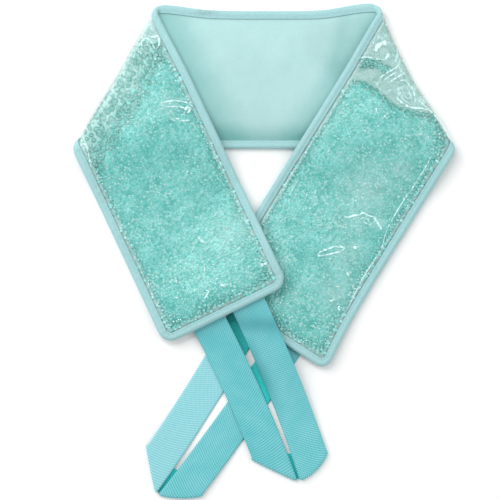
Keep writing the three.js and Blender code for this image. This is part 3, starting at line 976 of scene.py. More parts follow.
s, v = bead_places(BEAD_PITCH, seed=21, band=0)
for name, here in (
    ("beads_left_arm", past_fold(LEFT, s, v) > 0),
    ("beads_right_arm", past_fold(RIGHT, s, v) > 0),
    ("beads_back", past_folds(s, v) <= 0),
):
    bead_heap(name, s[here], v[here], BEAD_RADIUS, small_finish, seed=22)

s, v = bead_places(MEDIUM_PITCH, seed=23, band=1)
bead_heap("beads_medium", s, v, MEDIUM_RADIUS, medium_finish, seed=24)
s, v = bead_places(LARGE_PITCH, seed=23, band=2, nudge=LARGE_NUDGE)
bead_heap("beads_large", s, v, LARGE_RADIUS, large_finish, seed=24)

# %% [markdown]
# ## The clear film
# Soft clear film lies over the beads. We see it only by what it mirrors: broad soft glare, small
# glints and white creases. So it is mostly a transparent shader, mixed with a glossy one by how
# steeply the light meets it, and bumps the size of the beads break the glare up. Its white specks
# and smears are painted glints and highlights.

# %% The film material
def film_material():
    """Clear film: transparent, with a glossy share that grows towards the edge-on view, on a bumpy
    normal. White specks in swarms are painted glints, the empty pockets have milky smears that
    are painted highlights, and some patches are cloudy."""
    material, output = new_material("clear_film")
    flat = flat_place(material)
    dimples = noise(material, flat, 0.27, 3.0, 0.6)
    folds = noise(material, flat, 0.06, 3.0, 0.55)
    normal = bump(material, dimples, 0.0024, 0.8)
    normal = bump(material, folds, 0.002, 0.5, normal)
    steep = add_node(material, "ShaderNodeLayerWeight", {"Blend": 0.5, "Normal": normal})
    mirrored = maths(material, "POWER", steep.outputs["Facing"], 5.0)
    mirrored = ramp(material, mirrored, 0.0, 1.0, 0.045, 0.35)
    clear = add_node(material, "ShaderNodeBsdfTransparent", {"Color": (0.97, 0.995, 0.99, 1)})
    glare = add_node(material, "ShaderNodeBsdfGlossy", {"Roughness": 0.05, "Normal": normal})
    mixed = mix_shaders(material, mirrored, clear, glare)
    milk = add_node(material, "ShaderNodeBsdfDiffuse", {"Color": linear(222, 252, 251)})
    # Painted glints: white specks in swarms.
    painted_glints = ramp(material, noise(material, flat, 0.5, 2.0, 0.6), 0.63, 0.7, 0.0, 0.8)
    swarms = ramp(material, noise(material, flat, 0.04, 2.0), 0.36, 0.6)
    painted_glints = times(material, painted_glints, swarms)
    empty = carried(material, "empty")
    # Painted highlights: milky smears in the empty pockets.
    smears = ramp(material, noise(material, flat, 0.16, 5.0, 0.62), 0.52, 0.72, 0.0, 0.75)
    white = maths(material, "MAXIMUM", painted_glints, times(material, smears, empty))
    patch = carried(material, "milk")
    cloudy = ramp(material, noise(material, flat, 0.18, 4.0, 0.6), 0.3, 0.7, 0.25, 1.0)
    white = maths(material, "MAXIMUM", white, times(material, cloudy, patch))
    return surface(material, output, mix_shaders(material, white, mixed, milk))


# %% [markdown]
# The film pillows over the beads and lies flat where the pouch is empty. Its inner face follows
# the depth that shows, so that it never cuts into a bead. It is cloudy in a few listed patches, and
# pale along the weld beside the binding, partly the weld's own colour and partly painted light over
# the shaded groove there.

# %% The film piece
FILM_STEP = 1.7
FILM_COLUMNS = 73
FILM_WALL = 0.4
WELD_MILK = 0.6  # how white the weld beside the binding is, partly painted light over its shaded groove
# Cloudy patches: the middle in the view from above, the radius in millimetres, and how white.
MILKY = [
    ((366, 190), 24, 0.26),
    ((352, 222), 16, 0.16),
    ((334, 292), 15, 0.23),
    ((345, 255), 16, 0.20),
    ((400, 170), 12, 0.20),
    ((378, 222), 5, 0.39),
    ((356, 247), 4, 0.39),
    ((348, 273), 4, 0.33),
    ((170, 104), 10, 0.20),
    ((232, 235), 18, 0.13),
]


def milky(s, v):
    """How cloudy the film is: each patch fades like a bell from its middle."""
    table = lay(s, v, 0.0)[..., :2]
    most = 0 * s
    for middle, radius, white in MILKY:
        away = np.linalg.norm(table - table_place([middle])[0], axis=-1)
        most = np.maximum(most, white * np.exp(-((away / radius) ** 2)))
    return most


def film_height(s, v):
    """The height of the film's inner face: flat at the sewn rim, then over the beads, taut over
    the folds, and on the arms a little uneven."""
    inside = smooth((from_edge(s, v) - TAPE_LEG) / 3)
    on_arm = smooth(past_folds(s, v) / bend_half)
    uneven = 0.35 * ripple(s, v, 20, seed=5) + 0.15 * ripple(s, v, 7, seed=6)
    lowest = LOWEST_BEADS * on_arm * smooth(ashore(s, v) / 2)
    nearest_fold = np.minimum(np.abs(past_fold(LEFT, s, v)), np.abs(past_fold(RIGHT, s, v)))
    taut = fill_depth(s, v) * np.exp(-((nearest_fold / bend_half) ** 2))
    over_beads = GAP + np.maximum(bead_depth(s, v), np.maximum(lowest, taut)) + GAP
    return mix(GAP, over_beads, inside) + on_arm * inside * uneven


s, v = strip_grid(FILM_STEP, tape_start, FILM_COLUMNS)
height = film_height(s, v)
film_top = lay(s, v, height + FILM_WALL)
empty = at_arm(s, v) * (1 - smooth(ashore(s, v) / 4 + 1))
# Pale along the weld: partly its own colour, partly painted light over the shaded groove beside the
# binding.
weld = 1 - smooth((from_edge(s, v) - TAPE_LEG - 1) / 3)
milk = np.maximum(at_arm(s, v) * milky(s, v), WELD_MILK * weld)
flat = np.stack([s, v], -1)
values = {"empty": empty, "milk": milk}
film = add_cloth("front_film", film_top, lay(s, v, height), film_material(), values, flat)
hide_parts("clear_front_film")

# %% [markdown]
# ## Creases in the film
# Where water meets air in the pouch, and where the film is pinched, it catches the light in thin
# white lines, painted here as highlights. Each is a narrow ribbon on the film, lens-shaped across
# and fading at its edges. Its places are read off the laid-out wrap, and its corners are cut to a
# smooth line.

# %% The crease lines
# Each crease: how wide it is in millimetres, how white its painted highlight is, and its places in
# the view from above.
CREASES = [
    (0.6, 0.48, [(435, 150), (417, 182), (402, 203), (394, 217), (387, 229), (382, 249)]),
    (0.6, 0.48, [(380, 252), (368, 270), (363, 278), (353, 298), (348, 309)]),
    (0.9, 0.72, [(143, 35), (150, 37), (154, 37), (158, 35), (160, 44), (156, 50)]),
    (0.8, 0.64, [(155, 49), (152, 43), (147, 38), (144, 39), (141, 43), (143, 48)]),
    (0.7, 0.72, [(160, 105), (167, 102), (177, 101), (188, 103), (193, 107)]),
    (0.6, 0.64, [(159, 105), (165, 107), (172, 107), (182, 107), (190, 112)]),
    (0.6, 0.64, [(172, 113), (176, 119), (182, 122), (190, 120), (196, 128)]),
    (1.2, 0.80, [(185, 111), (187, 107), (190, 108), (190, 112), (187, 113)]),
    (0.8, 0.72, [(79, 147), (82, 144), (85, 144), (87, 147)]),
    (0.6, 0.64, [(82, 133), (87, 146), (89, 157), (91, 167)]),
    (0.6, 0.40, [(148, 22), (136, 46), (122, 73), (108, 97), (95, 119)]),
    (2.4, 0.80, [(377, 52), (376, 48), (380, 44), (386, 42), (390, 43)]),
    (1.2, 0.72, [(385, 59), (388, 56), (389, 53)]),
    (0.7, 0.64, [(360, 58), (367, 57), (376, 59), (388, 60)]),
    (0.8, 0.72, [(380, 78), (388, 72), (399, 66)]),
    (0.7, 0.72, [(384, 80), (391, 75), (397, 72)]),
    (0.7, 0.72, [(386, 84), (396, 78), (406, 72)]),
    (0.6, 0.64, [(399, 66), (401, 71), (407, 76)]),
    (0.7, 0.48, [(398, 84), (400, 80), (405, 80), (411, 86), (415, 94), (416, 101), (413, 105)]),
    (0.6, 0.44, [(413, 105), (407, 103), (401, 96), (398, 90), (398, 84)]),
    (0.6, 0.44, [(402, 88), (405, 85), (409, 90), (411, 97), (408, 99), (404, 95), (402, 88)]),
    (1.0, 0.72, [(396, 97), (403, 104), (412, 108), (421, 108), (428, 110)]),
    (0.8, 0.56, [(416, 98), (424, 105), (436, 116), (445, 128), (451, 140)]),
    (0.9, 0.64, [(373, 28), (369, 40), (363, 51), (358, 59)]),
    (1.0, 0.72, [(344, 216), (348, 218), (354, 215), (358, 216), (363, 212), (369, 216), (375, 217)]),
    (1.0, 0.72, [(374, 217), (377, 222), (380, 226), (382, 230)]),
    (0.6, 0.56, [(360, 219), (365, 217), (369, 220), (372, 225), (367, 224), (362, 221)]),
    (0.9, 0.72, [(317, 255), (321, 251), (329, 249), (335, 246), (340, 247), (346, 247)]),
    (0.9, 0.72, [(345, 248), (341, 251), (335, 253), (326, 255), (319, 256), (317, 254)]),
    (1.6, 0.64, [(354, 246), (356, 249)]),
    (1.4, 0.56, [(347, 272), (349, 276)]),
    (0.8, 0.64, [(298, 180), (294, 186), (290, 194)]),
    (0.7, 0.64, [(316, 190), (315, 194)]),
    (0.7, 0.64, [(325, 190), (326, 194)]),
    (0.7, 0.64, [(279, 203), (281, 207)]),
    (1.0, 0.72, [(331, 301), (335, 299)]),
    (1.0, 0.72, [(338, 307), (340, 311)]),
    (1.0, 0.76, [(205, 298), (208, 293), (211, 288)]),
    (1.0, 0.72, [(198, 236), (201, 241), (206, 243)]),
    (0.9, 0.64, [(204, 267), (205, 272)]),
    (1.2, 0.72, [(257, 262), (262, 265), (267, 263)]),
    (1.2, 0.72, [(218, 282), (223, 286), (228, 284)]),
]


def rounded(line):
    """A line of places with its corners cut twice: each step gives places at a quarter and three
    quarters of every stretch."""
    for _ in range(2):
        a, b = line[:-1], line[1:]
        cut = np.stack([mix(a, b, 0.25), mix(a, b, 0.75)], 1).reshape(-1, 2)
        line = np.concatenate([line[:1], cut, line[-1:]])
    return line


# %% The crease ribbons
CREASE_STEP = 0.8
CREASE_RISE = 0.25
CREASE_COLUMNS = 7
CREASE_OVER = 0.05  # a ribbon's upper face over its level
CREASE_UNDER = 0.1  # and its lower face under it

film_points = film_top[past_folds(s, v) > 0]


def film_level(places):
    """The highest point of the film within 2 mm of each place on the table."""
    away = np.linalg.norm(places[:, None] - film_points[None, :, :2], axis=-1)
    return np.where(away < 2, film_points[None, :, 2], 0).max(1)


def crease_ribbon(width, milk, pixels, seed):
    """The upper and lower grids of one crease and its whiteness, a painted highlight. Its width is
    uneven and tapers to both ends, and it is whitest along its middle."""
    line = rounded(table_place(pixels))
    along = along_path(*line.T)
    count = max(8, int(along[-1] / CREASE_STEP))
    here = np.linspace(0, along[-1], count)
    place = np.stack([np.interp(here, along, line[:, k]) for k in range(2)], -1)
    step = np.gradient(place, axis=0)
    aside = np.stack([-step[:, 1], step[:, 0]], -1) / np.linalg.norm(step, axis=1)[:, None]
    share = np.linspace(0, 1, count)
    taper = (4 * share * (1 - share)) ** 0.4 + 0.03
    wide = width * taper * (1 + 0.4 * ripple(here, 0 * here, 6, seed=seed))
    q = np.linspace(-1, 1, CREASE_COLUMNS)
    table = place[:, None] + aside[:, None] * (wide[:, None] * q)[..., None]
    level = film_level(place)[:, None] + CREASE_RISE * (1 - q**2)[None] * taper[:, None]
    broken = clamp01(0.7 + 0.6 * ripple(here, 0 * here, 4, seed=seed + 50))
    white = milk * (1 - q**4)[None] * broken[:, None]
    top = with_height(table, level + CREASE_OVER)
    under = with_height(table, level - CREASE_UNDER)
    return top, under, np.stack([white, white])


# %% The crease material
def painted_highlight_material():
    """Painted highlight: milky white, as opaque as the white attribute says, and see-through
    elsewhere.
    A faint glow, painted light, stands for the light that gathers in the crease."""
    material, output = new_material("film_highlight_milk")
    white = carried(material, "white")
    clear = add_node(material, "ShaderNodeBsdfTransparent")
    inputs = {
        "Base Color": linear(230, 254, 253),
        "Roughness": 0.3,
        "Emission Color": linear(200, 252, 249),
        "Emission Strength": 0.2,
    }
    milk = add_node(material, "ShaderNodeBsdfPrincipled", inputs)
    return surface(material, output, mix_shaders(material, white, clear, milk))


painted_highlight_finish = painted_highlight_material()

# %% The crease piece
points, faces, whites, start = [], [], [], 0
for k, (width, milk, pixels) in enumerate(CREASES):
    top, under, white = crease_ribbon(width, milk, pixels, 60 + k)
    ribbon_points, ribbon_faces = shell(top, under)
    points.append(ribbon_points)
    faces.append(outwards(ribbon_points, ribbon_faces) + start)
    whites.append(white.ravel())
    start += len(ribbon_points)
# The creases' white lines, painted highlights, in one piece.
add_piece(
    "film_creases",
    np.concatenate(points),
    np.concatenate(faces),
    painted_highlight_finish,
    values={"white": np.concatenate(whites)},
)

# %% [markdown]
# ## Bright arcs round the beads
# Where the film touches a bead, water clings in a ring, and parts of the ring catch the light. So
# we scatter short arcs about a bead wide over both arms, in swarms. Each has only 22 faces: four
# lines round a thin section that narrows to both ends.

# %% The arcs
ARC_COUNT = 2600
ARC_STATIONS = 6
ARC_RADIUS = (0.9, 2.3)  # the smallest and the largest, in millimetres
ARC_SWEEP = (0.7, 2.6)  # in radians
ARC_WIDTH = (0.3, 0.65)  # half widths in millimetres


def arc_places(count):
    """Random places on the arms over the beads, more of them where a slow ripple is high."""
    random = np.random.default_rng(31)
    s = random.uniform(LEFT["tip"], RIGHT["tip"], count)
    v = random.uniform(-half, half, count)
    inside = from_edge(s, v) > fill_start + 1
    on_arm = past_folds(s, v) > bend_half
    swarm = 0.4 + 0.5 * ripple(s, v, 45, seed=32) > random.uniform(0, 1, count)
    keep = inside & on_arm & swarm & (bead_share(s, v) > 0.15)
    return s[keep], v[keep]


def bright_arcs():
    """The points, faces and whiteness of all arcs. A station at angle a lies at the arc's middle
    plus its radius times (cos a, sin a), and its section is a flat diamond."""
    s, v = arc_places(ARC_COUNT)
    count = len(s)
    random = np.random.default_rng(33)
    radius = random.uniform(*ARC_RADIUS, (count, 1))
    start = random.uniform(0, 2 * np.pi, (count, 1))
    sweep = random.uniform(*ARC_SWEEP, (count, 1))
    share = np.linspace(0, 1, ARC_STATIONS)[None]
    angle = start + sweep * share
    taper = (4 * share * (1 - share)) ** 0.5 + 0.06
    wide = random.uniform(*ARC_WIDTH, (count, 1)) * taper
    diamond = np.array([(-1, 0), (0, 1), (1, 0), (0, -1)])
    out = radius[..., None] + wide[..., None] * diamond[:, 0]
    rise = 0.1 + 0.25 * wide[..., None] * diamond[:, 1]
    s = s[:, None, None] + out * np.cos(angle)[..., None]
    v = v[:, None, None] + out * np.sin(angle)[..., None]
    points = lay(s, v, film_height(s, v) + FILM_WALL + rise)
    k = np.arange(ARC_STATIONS - 1)[:, None]
    j = np.arange(4)[None]
    side = np.stack([4 * k + j, 4 * k + (j + 1) % 4, 4 * k + 4 + (j + 1) % 4, 4 * k + 4 + j], -1)
    last = 4 * (ARC_STATIONS - 1)
    caps = np.array([[3, 2, 1, 0], [last, last + 1, last + 2, last + 3]])
    one = np.concatenate([side.reshape(-1, 4), caps])
    faces = one[None] + 4 * ARC_STATIONS * np.arange(count)[:, None, None]
    bright = random.uniform(0.5, 1.0, (count, 1, 1)) * (diamond[:, 1] > 0)
    return points, faces.reshape(-1, 4), bright + 0 * out


points, faces, white = bright_arcs()
add_piece("bead_glints", points, faces, painted_highlight_finish, values={"white": white})

# %% [markdown]
# ## The binding
# A woven tape is folded over the raw rim and sewn through. Its fold is rounded, and the seam
# pulls it into small gathers. We carry one closed section round the whole rim of the flat strip,
# and the layout folds it with the rest.

# %% Round the rim
TAPE_STEP = 2.4
CORNER_STEPS = 12
END_STEPS = 44


def rim_stations():
    """Each station round the rim as two numbers for s and two for v: their values at the rim, and
    their change for each millimetre inwards."""
    middle = strip_rows(TAPE_STEP, CORNER_RADIUS)[1:-1]
    tilt = row_tilt(middle)
    one = np.ones_like(middle)
    turn = np.linspace(0, np.pi / 2, CORNER_STEPS + 1)
    straight = half - CORNER_RADIUS

    def corner(arm, sign, turn):
        """A quarter circle whose radius shrinks with the inset."""
        s = arm["tip"] - arm["side"] * CORNER_RADIUS * (1 - np.sin(turn))
        v = sign * (straight + CORNER_RADIUS * np.cos(turn))
        return np.stack([s, -arm["side"] * np.sin(turn), v, -sign * np.cos(turn)])

    def edge(sign):
        """The long edge: every row of the strip, carried along its own tilt."""
        return np.stack([middle + tilt * sign * half, -tilt * sign, sign * half * one, -sign * one])

    def end(arm, sign):
        """The straight stretch across the arm's end, from sign's side to the other."""
        v = sign * np.linspace(straight, -straight, END_STEPS)[1:-1]
        flat = np.ones_like(v)
        return np.stack([arm["tip"] * flat, -arm["side"] * flat, v, 0 * flat])

    parts = [
        edge(1),
        corner(RIGHT, 1, turn),
        end(RIGHT, 1),
        corner(RIGHT, -1, turn[::-1]),
        edge(-1)[:, ::-1],
        corner(LEFT, -1, turn),
        end(LEFT, -1),
        corner(LEFT, 1, turn[::-1]),
    ]
    return np.concatenate(parts, 1)


# %% The binding's section
TAPE_WALL = 0.6
TAPE_CROWN = 0.7

# Each point of the section: its inset from the rim, and its height over the glued face.
OUTER = [
    (7.5, tape_outer - 0.2),
    (7.2, tape_outer + 0.1),
    (6.4, tape_outer + 0.25),
    (5.7, tape_outer - 0.05),
    (5.2, tape_outer),
    (4.2, tape_outer + 0.55),
    (2.8, tape_outer + TAPE_CROWN),
    (1.2, tape_outer + 0.1),
    (0.25, 1.1),
    (0.0, 0.0),
    (0.25, -1.2),
    (1.2, -tape_inner + 0.1),
    (2.8, -tape_inner - 0.35),
    (4.2, -tape_inner - 0.3),
    (5.2, -tape_inner),
    (5.7, -tape_inner + 0.05),
    (6.4, -tape_inner - 0.15),
    (7.2, -tape_inner),
    (7.5, -tape_inner + 0.2),
]
INNER = [
    (7.3, -tape_inner + TAPE_WALL),
    (1.3, -tape_inner + TAPE_WALL),
    (0.9, 0.0),
    (1.3, tape_outer - TAPE_WALL),
    (7.3, tape_outer - TAPE_WALL),
]


def gathers(along):
    """Small puckers along the seam, about 6 mm apart, of uneven height."""
    return 0.26 * np.sin(2 * np.pi * along / 6.1 + 1.5 * ripple(along, 0 * along, 23, seed=41))


# %% The binding's material
def tape_material():
    """Fine pale twill: slanting ribs under a millimetre apart, a slight cloudiness, and grey
    threads in the frayed spot."""
    material, output = new_material("binding_tape")
    flat = flat_place(material)
    parts = add_node(material, "ShaderNodeSeparateXYZ", {0: flat})
    slant = maths(material, "ADD", parts.outputs[0], parts.outputs[1])
    ribs = maths(material, "SINE", times(material, slant, 2 * np.pi / 0.95))
    ribs = ramp(material, ribs, -1.0, 1.0)
    clouds = noise(material, flat, 0.12, 3.0)
    base = blend_by(material, clouds, 0.3, 0.7, linear(184, 218, 220), linear(206, 234, 236))
    colour = blend_colours(material, ribs, linear(158, 207, 210), base)
    flecks = ramp(material, noise(material, flat, 0.8, 3.0, 0.7), 0.3, 0.7)
    colour = blend_colours(material, flecks, linear(142, 196, 198), colour)
    frayed = carried(material, "frayed")
    frayed = times(material, frayed, ramp(material, noise(material, flat, 0.9), 0.4, 0.6))
    colour = blend_colours(material, frayed, colour, linear(128, 152, 152))
    inputs = {
        "Base Color": colour,
        "Roughness": 0.8,
        "Sheen Weight": 0.15,
        "Sheen Roughness": 0.5,
        "Normal": bump(material, ribs, 0.00012, 0.7),
    }
    return principled(material, output, inputs)


# %% The binding piece
# A frayed spot on the back's upper edge: its middle in the view, its half sizes in millimetres.
FRAYED_AT = (205, 12)
FRAYED_HALF = (11.0, 2.2)

stations = rim_stations()
section = np.array(OUTER + INNER)
inset, height = section.T
s = stations[0][:, None] + stations[1][:, None] * inset
v = stations[2][:, None] + stations[3][:, None] * inset
along = along_path(stations[0], stations[2])
outer_leg = smooth((height - 1.0) / 0.8) * smooth(inset / 5) * (np.arange(len(inset)) < len(OUTER))
h = height + gathers(along)[:, None] * outer_leg
points = lay(s, v, h)
count = len(inset)
closed = np.concatenate([points, points[:, :1]], 1)
girth = along_path(*section.T)
index = np.arange(len(along))[:, None] * count + np.arange(count + 1)[None] % count
faces = grid_faces(len(along), count + 1, closed=True)
faces = index.ravel()[faces]
flat = np.stack(np.broadcast_arrays(along[:, None], girth[None, :]), -1)
away = (points[:, :count, :2] - table_place([FRAYED_AT])[0]) / FRAYED_HALF
values = {"frayed": np.exp(-(away**2).sum(-1))}
binding = add_piece("edge_tape", points, faces, tape_material(), uv=flat, values=values)
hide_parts("edge_binding")

# %% [markdown]
# ## The stitches
# One line of lockstitch holds the tape, near the inner edge of its legs, and shows on both faces.
# A stitch is a bead's ball drawn out long and thin, set in line with the rim.

# %% A row of stitches
STITCH_PITCH = 3.1
STITCH_LENGTH = 2.3
STITCH_WIDTH = 0.5
STITCH_INSET = 5.5
FRONT_PROUD = 0.1  # how far the thread's middle stands over the tape
BACK_PROUD = 0.05


def stitch_row(name, inset, height, finish):
    """Stitches at even steps round the rim: a ball scaled along the path and across it."""
    s = stations[0] + stations[1] * inset
    v = stations[2] + stations[3] * inset
    s, v = np.append(s, s[0]), np.append(v, v[0])
    path = along_path(s, v)
    count = int(path[-1] / STITCH_PITCH)
    here = np.arange(count) * path[-1] / count
    ahead = here + 0.5
    s0, v0 = np.interp(here, path, s), np.interp(here, path, v)
    ds, dv = np.interp(ahead, path, s) - s0, np.interp(ahead, path, v) - v0
    size = np.hypot(ds, dv)
    ds, dv = ds / size, dv / size
    half_size = np.array([STITCH_LENGTH, STITCH_WIDTH, STITCH_WIDTH]) / 2
    x, y, z = (BALL_POINTS * half_size).T
    points = lay(
        s0[:, None] + ds[:, None] * x - dv[:, None] * y,
        v0[:, None] + dv[:, None] * x + ds[:, None] * y,
        height + z[None, :] + 0 * s0[:, None],
    )
    faces = BALL_FACES[None] + np.arange(count)[:, None, None] * len(BALL_POINTS)
    return add_piece(name, points, faces.reshape(-1, 3), finish)


# %% The thread and the stitch pieces
def thread_material():
    """Pale spun thread with a fine twist."""
    material, output = new_material("thread")
    twist = noise(material, object_place(material), 1800.0, 2.0)
    colour = blend_by(material, twist, 0.3, 0.7, linear(150, 205, 208), linear(180, 224, 226))
    inputs = {"Base Color": colour, "Roughness": 0.7, "Sheen Weight": 0.2}
    return principled(material, output, inputs)


thread_finish = thread_material()
front_stitches = stitch_row("stitches_front", STITCH_INSET, tape_outer + FRONT_PROUD, thread_finish)
back_stitches = stitch_row("stitches_back", STITCH_INSET, -tape_inner - BACK_PROUD, thread_finish)

# %% [markdown]
# ## The webbing loops
# Each loop is a flat woven strap. Down one strand, turned under at a slanting fold, across, and
# up the other strand. We work out a straight line across the strap at many places, and let the
# place turn over half a circle at each fold.

# %% A loop's lines across the strap
STRAND_STEPS = 70
TURN_STEPS = 9
MIDDLE_STEPS = 10
tip_level = on_table + 2 * webbing_bend


def beside_slit(name, t, side, out):
    """A place beside the slit: t is the share of the drop, side -1 for west, and out the distance
    from the slit's edge. The slit leans west and bows east on its way to the tip."""
    arm, loop = ARMS[name], LOOPS[name]
    slit = loop["offset"] + loop["drop"] * (4 * loop["bow"] * t * (1 - t) - loop["drift"] * t)
    slope = 4 * loop["bow"] * (1 - 2 * t) - loop["drift"]
    gap = mix(loop["seat_gap"], loop["tip_gap"], clamp01(t)) / 2
    normal = np.stack([-slope, np.ones_like(slope)]) / np.hypot(slope, 1)
    along = loop["drop"] * t + side * out * normal[0]
    across = slit + side * (gap + out * normal[1])
    return arm["end"] + arm["reach"] * along[:, None] + arm["across"] * across[:, None]


def strand_lines(name, side, fold_degrees):
    """Lines across one strand, from the arm to its fold and round it: both ends of each line, its
    height, how far it has turned over, and the direction that the fold bulges in."""
    loop = LOOPS[name]
    fold = np.radians(fold_degrees)
    last = 1 - (webbing_bend + WEBBING_THICKNESS / 2) / np.sin(fold) / loop["drop"]
    shear = WEBBING_WIDTH / np.tan(fold) / loop["drop"]
    share = np.concatenate([[0, 0], np.linspace(0, 1, STRAND_STEPS + 1)])
    t = share * last
    t[:2] = -WEBBING_OVERLAP / loop["drop"], -WEBBING_OVERLAP / loop["drop"] / 2
    inner = beside_slit(name, t, side, 0)
    outer = beside_slit(name, t - shear * share, side, WEBBING_WIDTH)
    z = mix(SEATS[name], tip_level, smooth(2 * t - 1))
    line = (outer[-1] - inner[-1]) / np.linalg.norm(outer[-1] - inner[-1])
    away = side * np.array([line[1], -line[0]])
    turn = np.pi * np.arange(1, TURN_STEPS + 1) / TURN_STEPS
    shift = away * (webbing_bend * np.sin(turn))[:, None]
    inner = np.concatenate([inner, inner[-1] + shift])
    outer = np.concatenate([outer, outer[-1] + shift])
    z = np.concatenate([z, on_table + webbing_bend * (1 + np.cos(turn))])
    turn = np.concatenate([0 * t, turn])
    return inner, outer, z, turn, np.broadcast_to(away, inner.shape)


def loop_lines(name):
    """All the lines across one loop's strap: the west strand, the stretch under the tip, and the
    east strand backwards."""
    west, east = LOOPS[name]["folds"]
    west = strand_lines(name, -1, west)
    east = strand_lines(name, 1, east)
    t = np.linspace(0, 1, MIDDLE_STEPS + 1)[1:-1, None]
    middle = (
        mix(west[0][-1], east[0][-1], t),
        mix(west[1][-1], east[1][-1], t),
        np.full(len(t), west[2][-1]),
        np.full(len(t), np.pi),
        0 * mix(west[0][-1], east[0][-1], t),
    )
    return [np.concatenate([w, m, e[::-1]]) for w, m, e in zip(west, middle, east)]


# %% The strap's thickness and its shaded places
ACROSS = 25
TIP_REACH = 34
# Where the left loop's east strand is shaded, in millimetres down the table, and how darkly.
STEP_AT, STEP_WIDTH, STEP_DARK = -229.0, 8.0, 0.5
INNER_AT, INNER_WIDTH, INNER_DARK = -274.0, 30.0, 0.7
INNER_REACH = 9
# The right loop glows a painted teal in the left loop's slit, where it lies in shade: how far, and
# over how wide a border.
SLIT_REACH, SLIT_BLEND, SLIT_GLOW = 8, 6, 0.95


def webbing_profile(q):
    """Half the strap's thickness across its width: thin at the woven edges, with a low rib along
    each edge and one down each quarter."""
    edge = np.sqrt(clamp01(1 - np.abs(2 * q - 1) ** 14))
    ribs = 0.06 * np.cos(q * 8 * np.pi)
    return WEBBING_THICKNESS / 2 * (0.35 + 0.6 * edge + ribs * edge)


def past_left_slit(place):
    """How far east of the left loop's slit a place on the table lies, in millimetres."""
    arm, loop = LEFT, LOOPS["left"]
    offset = place - arm["end"]
    t = clamp01(offset @ arm["reach"] / loop["drop"])
    slit = loop["offset"] + loop["drop"] * (4 * loop["bow"] * t * (1 - t) - loop["drift"] * t)
    return (offset @ arm["across"] - slit) * np.sign(arm["across"][0])


def east_shade(place):
    """How far the left loop's east strand is out of the light: where it steps off the right
    arm's end, and along its inner edge above the right loop."""
    east = past_left_slit(place)
    step = STEP_DARK * np.exp(-(((place[..., 1] - STEP_AT) / STEP_WIDTH) ** 2))
    beside = (east / INNER_REACH) ** 2 + ((place[..., 1] - INNER_AT) / INNER_WIDTH) ** 2
    inner = INNER_DARK * np.exp(-beside)
    return np.where(east > 0, np.maximum(step, inner), 0)


def near_tip(inner, turn):
    """1 at the fold, falling smoothly to 0 over the last stretch of each strand."""
    fold = inner[turn > 0]
    away = np.linalg.norm(inner[:, None] - fold[None], axis=-1).min(1)
    return 1 - smooth(away / TIP_REACH)


# %% The faces of a loop
def loop_faces(name):
    """The upper and lower grids of a loop, its flat places in millimetres, its length, and where it
    is pale, where painted shade turns it a saturated teal, and where it is shaded. The strands bulge
    out a little towards their folds."""
    inner, outer, z, turn, away = loop_lines(name)
    q = np.linspace(0, 1, ACROSS)
    place = inner[:, None] + (outer - inner)[:, None] * q[None, :, None]
    strand = np.arange(len(turn)) < len(turn) / 2
    bulge = np.where(strand, *LOOPS[name]["bulge"]) * near_tip(inner, turn)
    place = place + away[:, None] * (bulge[:, None] * np.sin(np.pi * q) ** 0.7)[..., None]
    ground = under_loop(name, place[..., 0], place[..., 1]) * (turn == 0)[:, None]
    off = webbing_profile(q)[None, :]
    centre = (inner + outer) / 2
    along = along_path(*centre.T)
    tilted = np.sin(turn)[:, None]
    faces = []
    for sign in (1, -1):
        p = place + away[:, None] * (sign * off * tilted)[..., None]
        height = z[:, None] + ground + sign * off * np.cos(turn)[:, None]
        faces.append(with_height(p, height))
    flat = np.stack(np.broadcast_arrays(q * WEBBING_WIDTH, along[:, None]), -1)
    tone = np.where(strand, *LOOPS[name]["tone"])[:, None] + 0 * q
    # Painted shade: a saturated teal on the stretch turned under the tip, and on the right loop in
    # the left loop's slit.
    hidden = smooth(turn / np.pi * 2 - 1)[:, None] + 0 * q
    shade = 0 * hidden
    if name == "left":
        shade = east_shade(place) * (turn == 0)[:, None]
    else:
        in_slit = 1 - smooth((np.abs(past_left_slit(place)) - SLIT_REACH) / SLIT_BLEND)
        hidden = np.maximum(hidden, SLIT_GLOW * in_slit)
    return *faces, flat, along[-1], {"tone": tone, "hidden": hidden, "shade": shade}


# %% The webbing's material
def webbing_material():
    """Woven strap: threads cross in a basket weave about 2 mm to the repeat, with painted shade in
    the dips.
    """
    material, output = new_material("webbing")
    flat = flat_place(material)
    parts = add_node(material, "ShaderNodeSeparateXYZ", {0: flat})
    across = maths(material, "SINE", times(material, parts.outputs[0], 2 * np.pi / 2.1))
    along = maths(material, "SINE", times(material, parts.outputs[1], 2 * np.pi / 2.3))
    weave = ramp(material, times(material, across, along), -1.0, 1.0)
    clouds = noise(material, flat, 0.05, 3.0)
    base = blend_by(material, clouds, 0.3, 0.7, linear(118, 214, 220), linear(148, 226, 232))
    tone = carried(material, "tone")
    base = blend_colours(material, tone, base, linear(172, 230, 236))
    # Painted shade: the weave is darker in its dips.
    dips = blend_colours(material, tone, linear(46, 160, 168), linear(106, 190, 200))
    colour = blend_colours(material, weave, dips, base)
    # Painted shade: a saturated teal where the strap is turned under or lies in the slit.
    hidden = carried(material, "hidden")
    colour = blend_colours(material, hidden, colour, linear(6, 194, 192))
    shade = carried(material, "shade")
    colour = blend_colours(material, shade, colour, linear(14, 128, 136))
    inputs = {
        "Base Color": colour,
        "Roughness": 0.62,
        "Sheen Weight": 0.2,
        "Sheen Roughness": 0.4,
        "Normal": bump(material, weave, 0.00025, 0.8),
    }
    return principled(material, output, inputs)


# %% The loop pieces
webbing_finish = webbing_material()
for name in ("right", "left"):
    top, under, flat, length, tones = loop_faces(name)
    strap = add_cloth(f"loop_{name}", top, under, webbing_finish, tones, flat)
    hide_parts(f"strap_loop_{name}")
    print("webbing in the", name, "loop:", round(length), "mm")


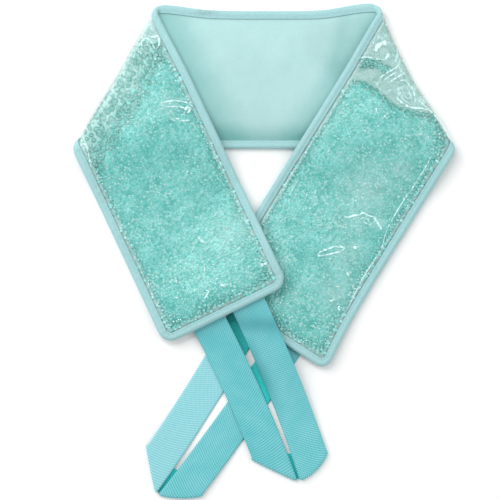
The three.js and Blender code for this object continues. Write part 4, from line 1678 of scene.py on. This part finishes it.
# %% [markdown]
# ## Floor, light and camera
# The wrap lies on a plain white table, photographed from straight above under large soft lamps.
# We use a pale floor, an even white sky, a big lamp at the upper left, a weaker one on the right
# and a small one high up, whose image makes the sharp glints.

# %% The floor
FLOOR_SIZE = 6.0
floor_mesh = bpy.data.meshes.new("floor")
edge = FLOOR_SIZE / 2
floor_mesh.from_pydata(
    [(-edge, -edge, 0), (edge, -edge, 0), (edge, edge, 0), (-edge, edge, 0)], [], [(0, 1, 2, 3)]
)
floor = bpy.data.objects.new("floor", floor_mesh)
bpy.context.scene.collection.objects.link(floor)
material, output = new_material("floor")
inputs = {"Base Color": (0.98, 0.98, 0.98, 1), "Roughness": 0.9}
floor_mesh.materials.append(principled(material, output, inputs))


# %% The lamps and the sky
WRAP_MIDDLE = Vector((-0.015, -0.16, 0))
SKY_STRENGTH = 0.62


def add_lamp(name, place, size, power):
    """A square lamp that points at the middle of the wrap."""
    lamp = bpy.data.lights.new(name, "AREA")
    lamp.size = size
    lamp.energy = power
    lamp_object = bpy.data.objects.new(name, lamp)
    lamp_object.location = place
    towards = WRAP_MIDDLE - Vector(place)
    lamp_object.rotation_euler = towards.to_track_quat("-Z", "Y").to_euler()
    bpy.context.scene.collection.objects.link(lamp_object)


add_lamp("lamp_main", (-1.2, 0.95, 1.3), 1.5, 24)
add_lamp("lamp_side", (1.2, 0.1, 1.4), 1.2, 5)
add_lamp("lamp_glints", (-0.3, 0.6, 1.6), 0.12, 4)

world = bpy.data.worlds.new("sky")
bpy.context.scene.world = world
world.use_nodes = True
world.node_tree.nodes["Background"].inputs["Color"].default_value = (1, 1, 1, 1)
world.node_tree.nodes["Background"].inputs["Strength"].default_value = SKY_STRENGTH
bpy.context.scene.view_settings.view_transform = "Standard"

# %% The camera
FRAME_WIDTH = 500 * VIEW_SCALE * MM
CAMERA_HEIGHT = 2.4
SUBJECT_HEIGHT = 0.012
camera = bpy.data.cameras.new("camera")
camera.sensor_width = 36
camera.lens = camera.sensor_width * (CAMERA_HEIGHT - SUBJECT_HEIGHT) / FRAME_WIDTH
camera.clip_end = 20
camera_object = bpy.data.objects.new("camera", camera)
middle = table_place([(250, 250)])[0] * MM
camera_object.location = (middle[0], middle[1], CAMERA_HEIGHT)
bpy.context.scene.collection.objects.link(camera_object)
bpy.context.scene.camera = camera_object
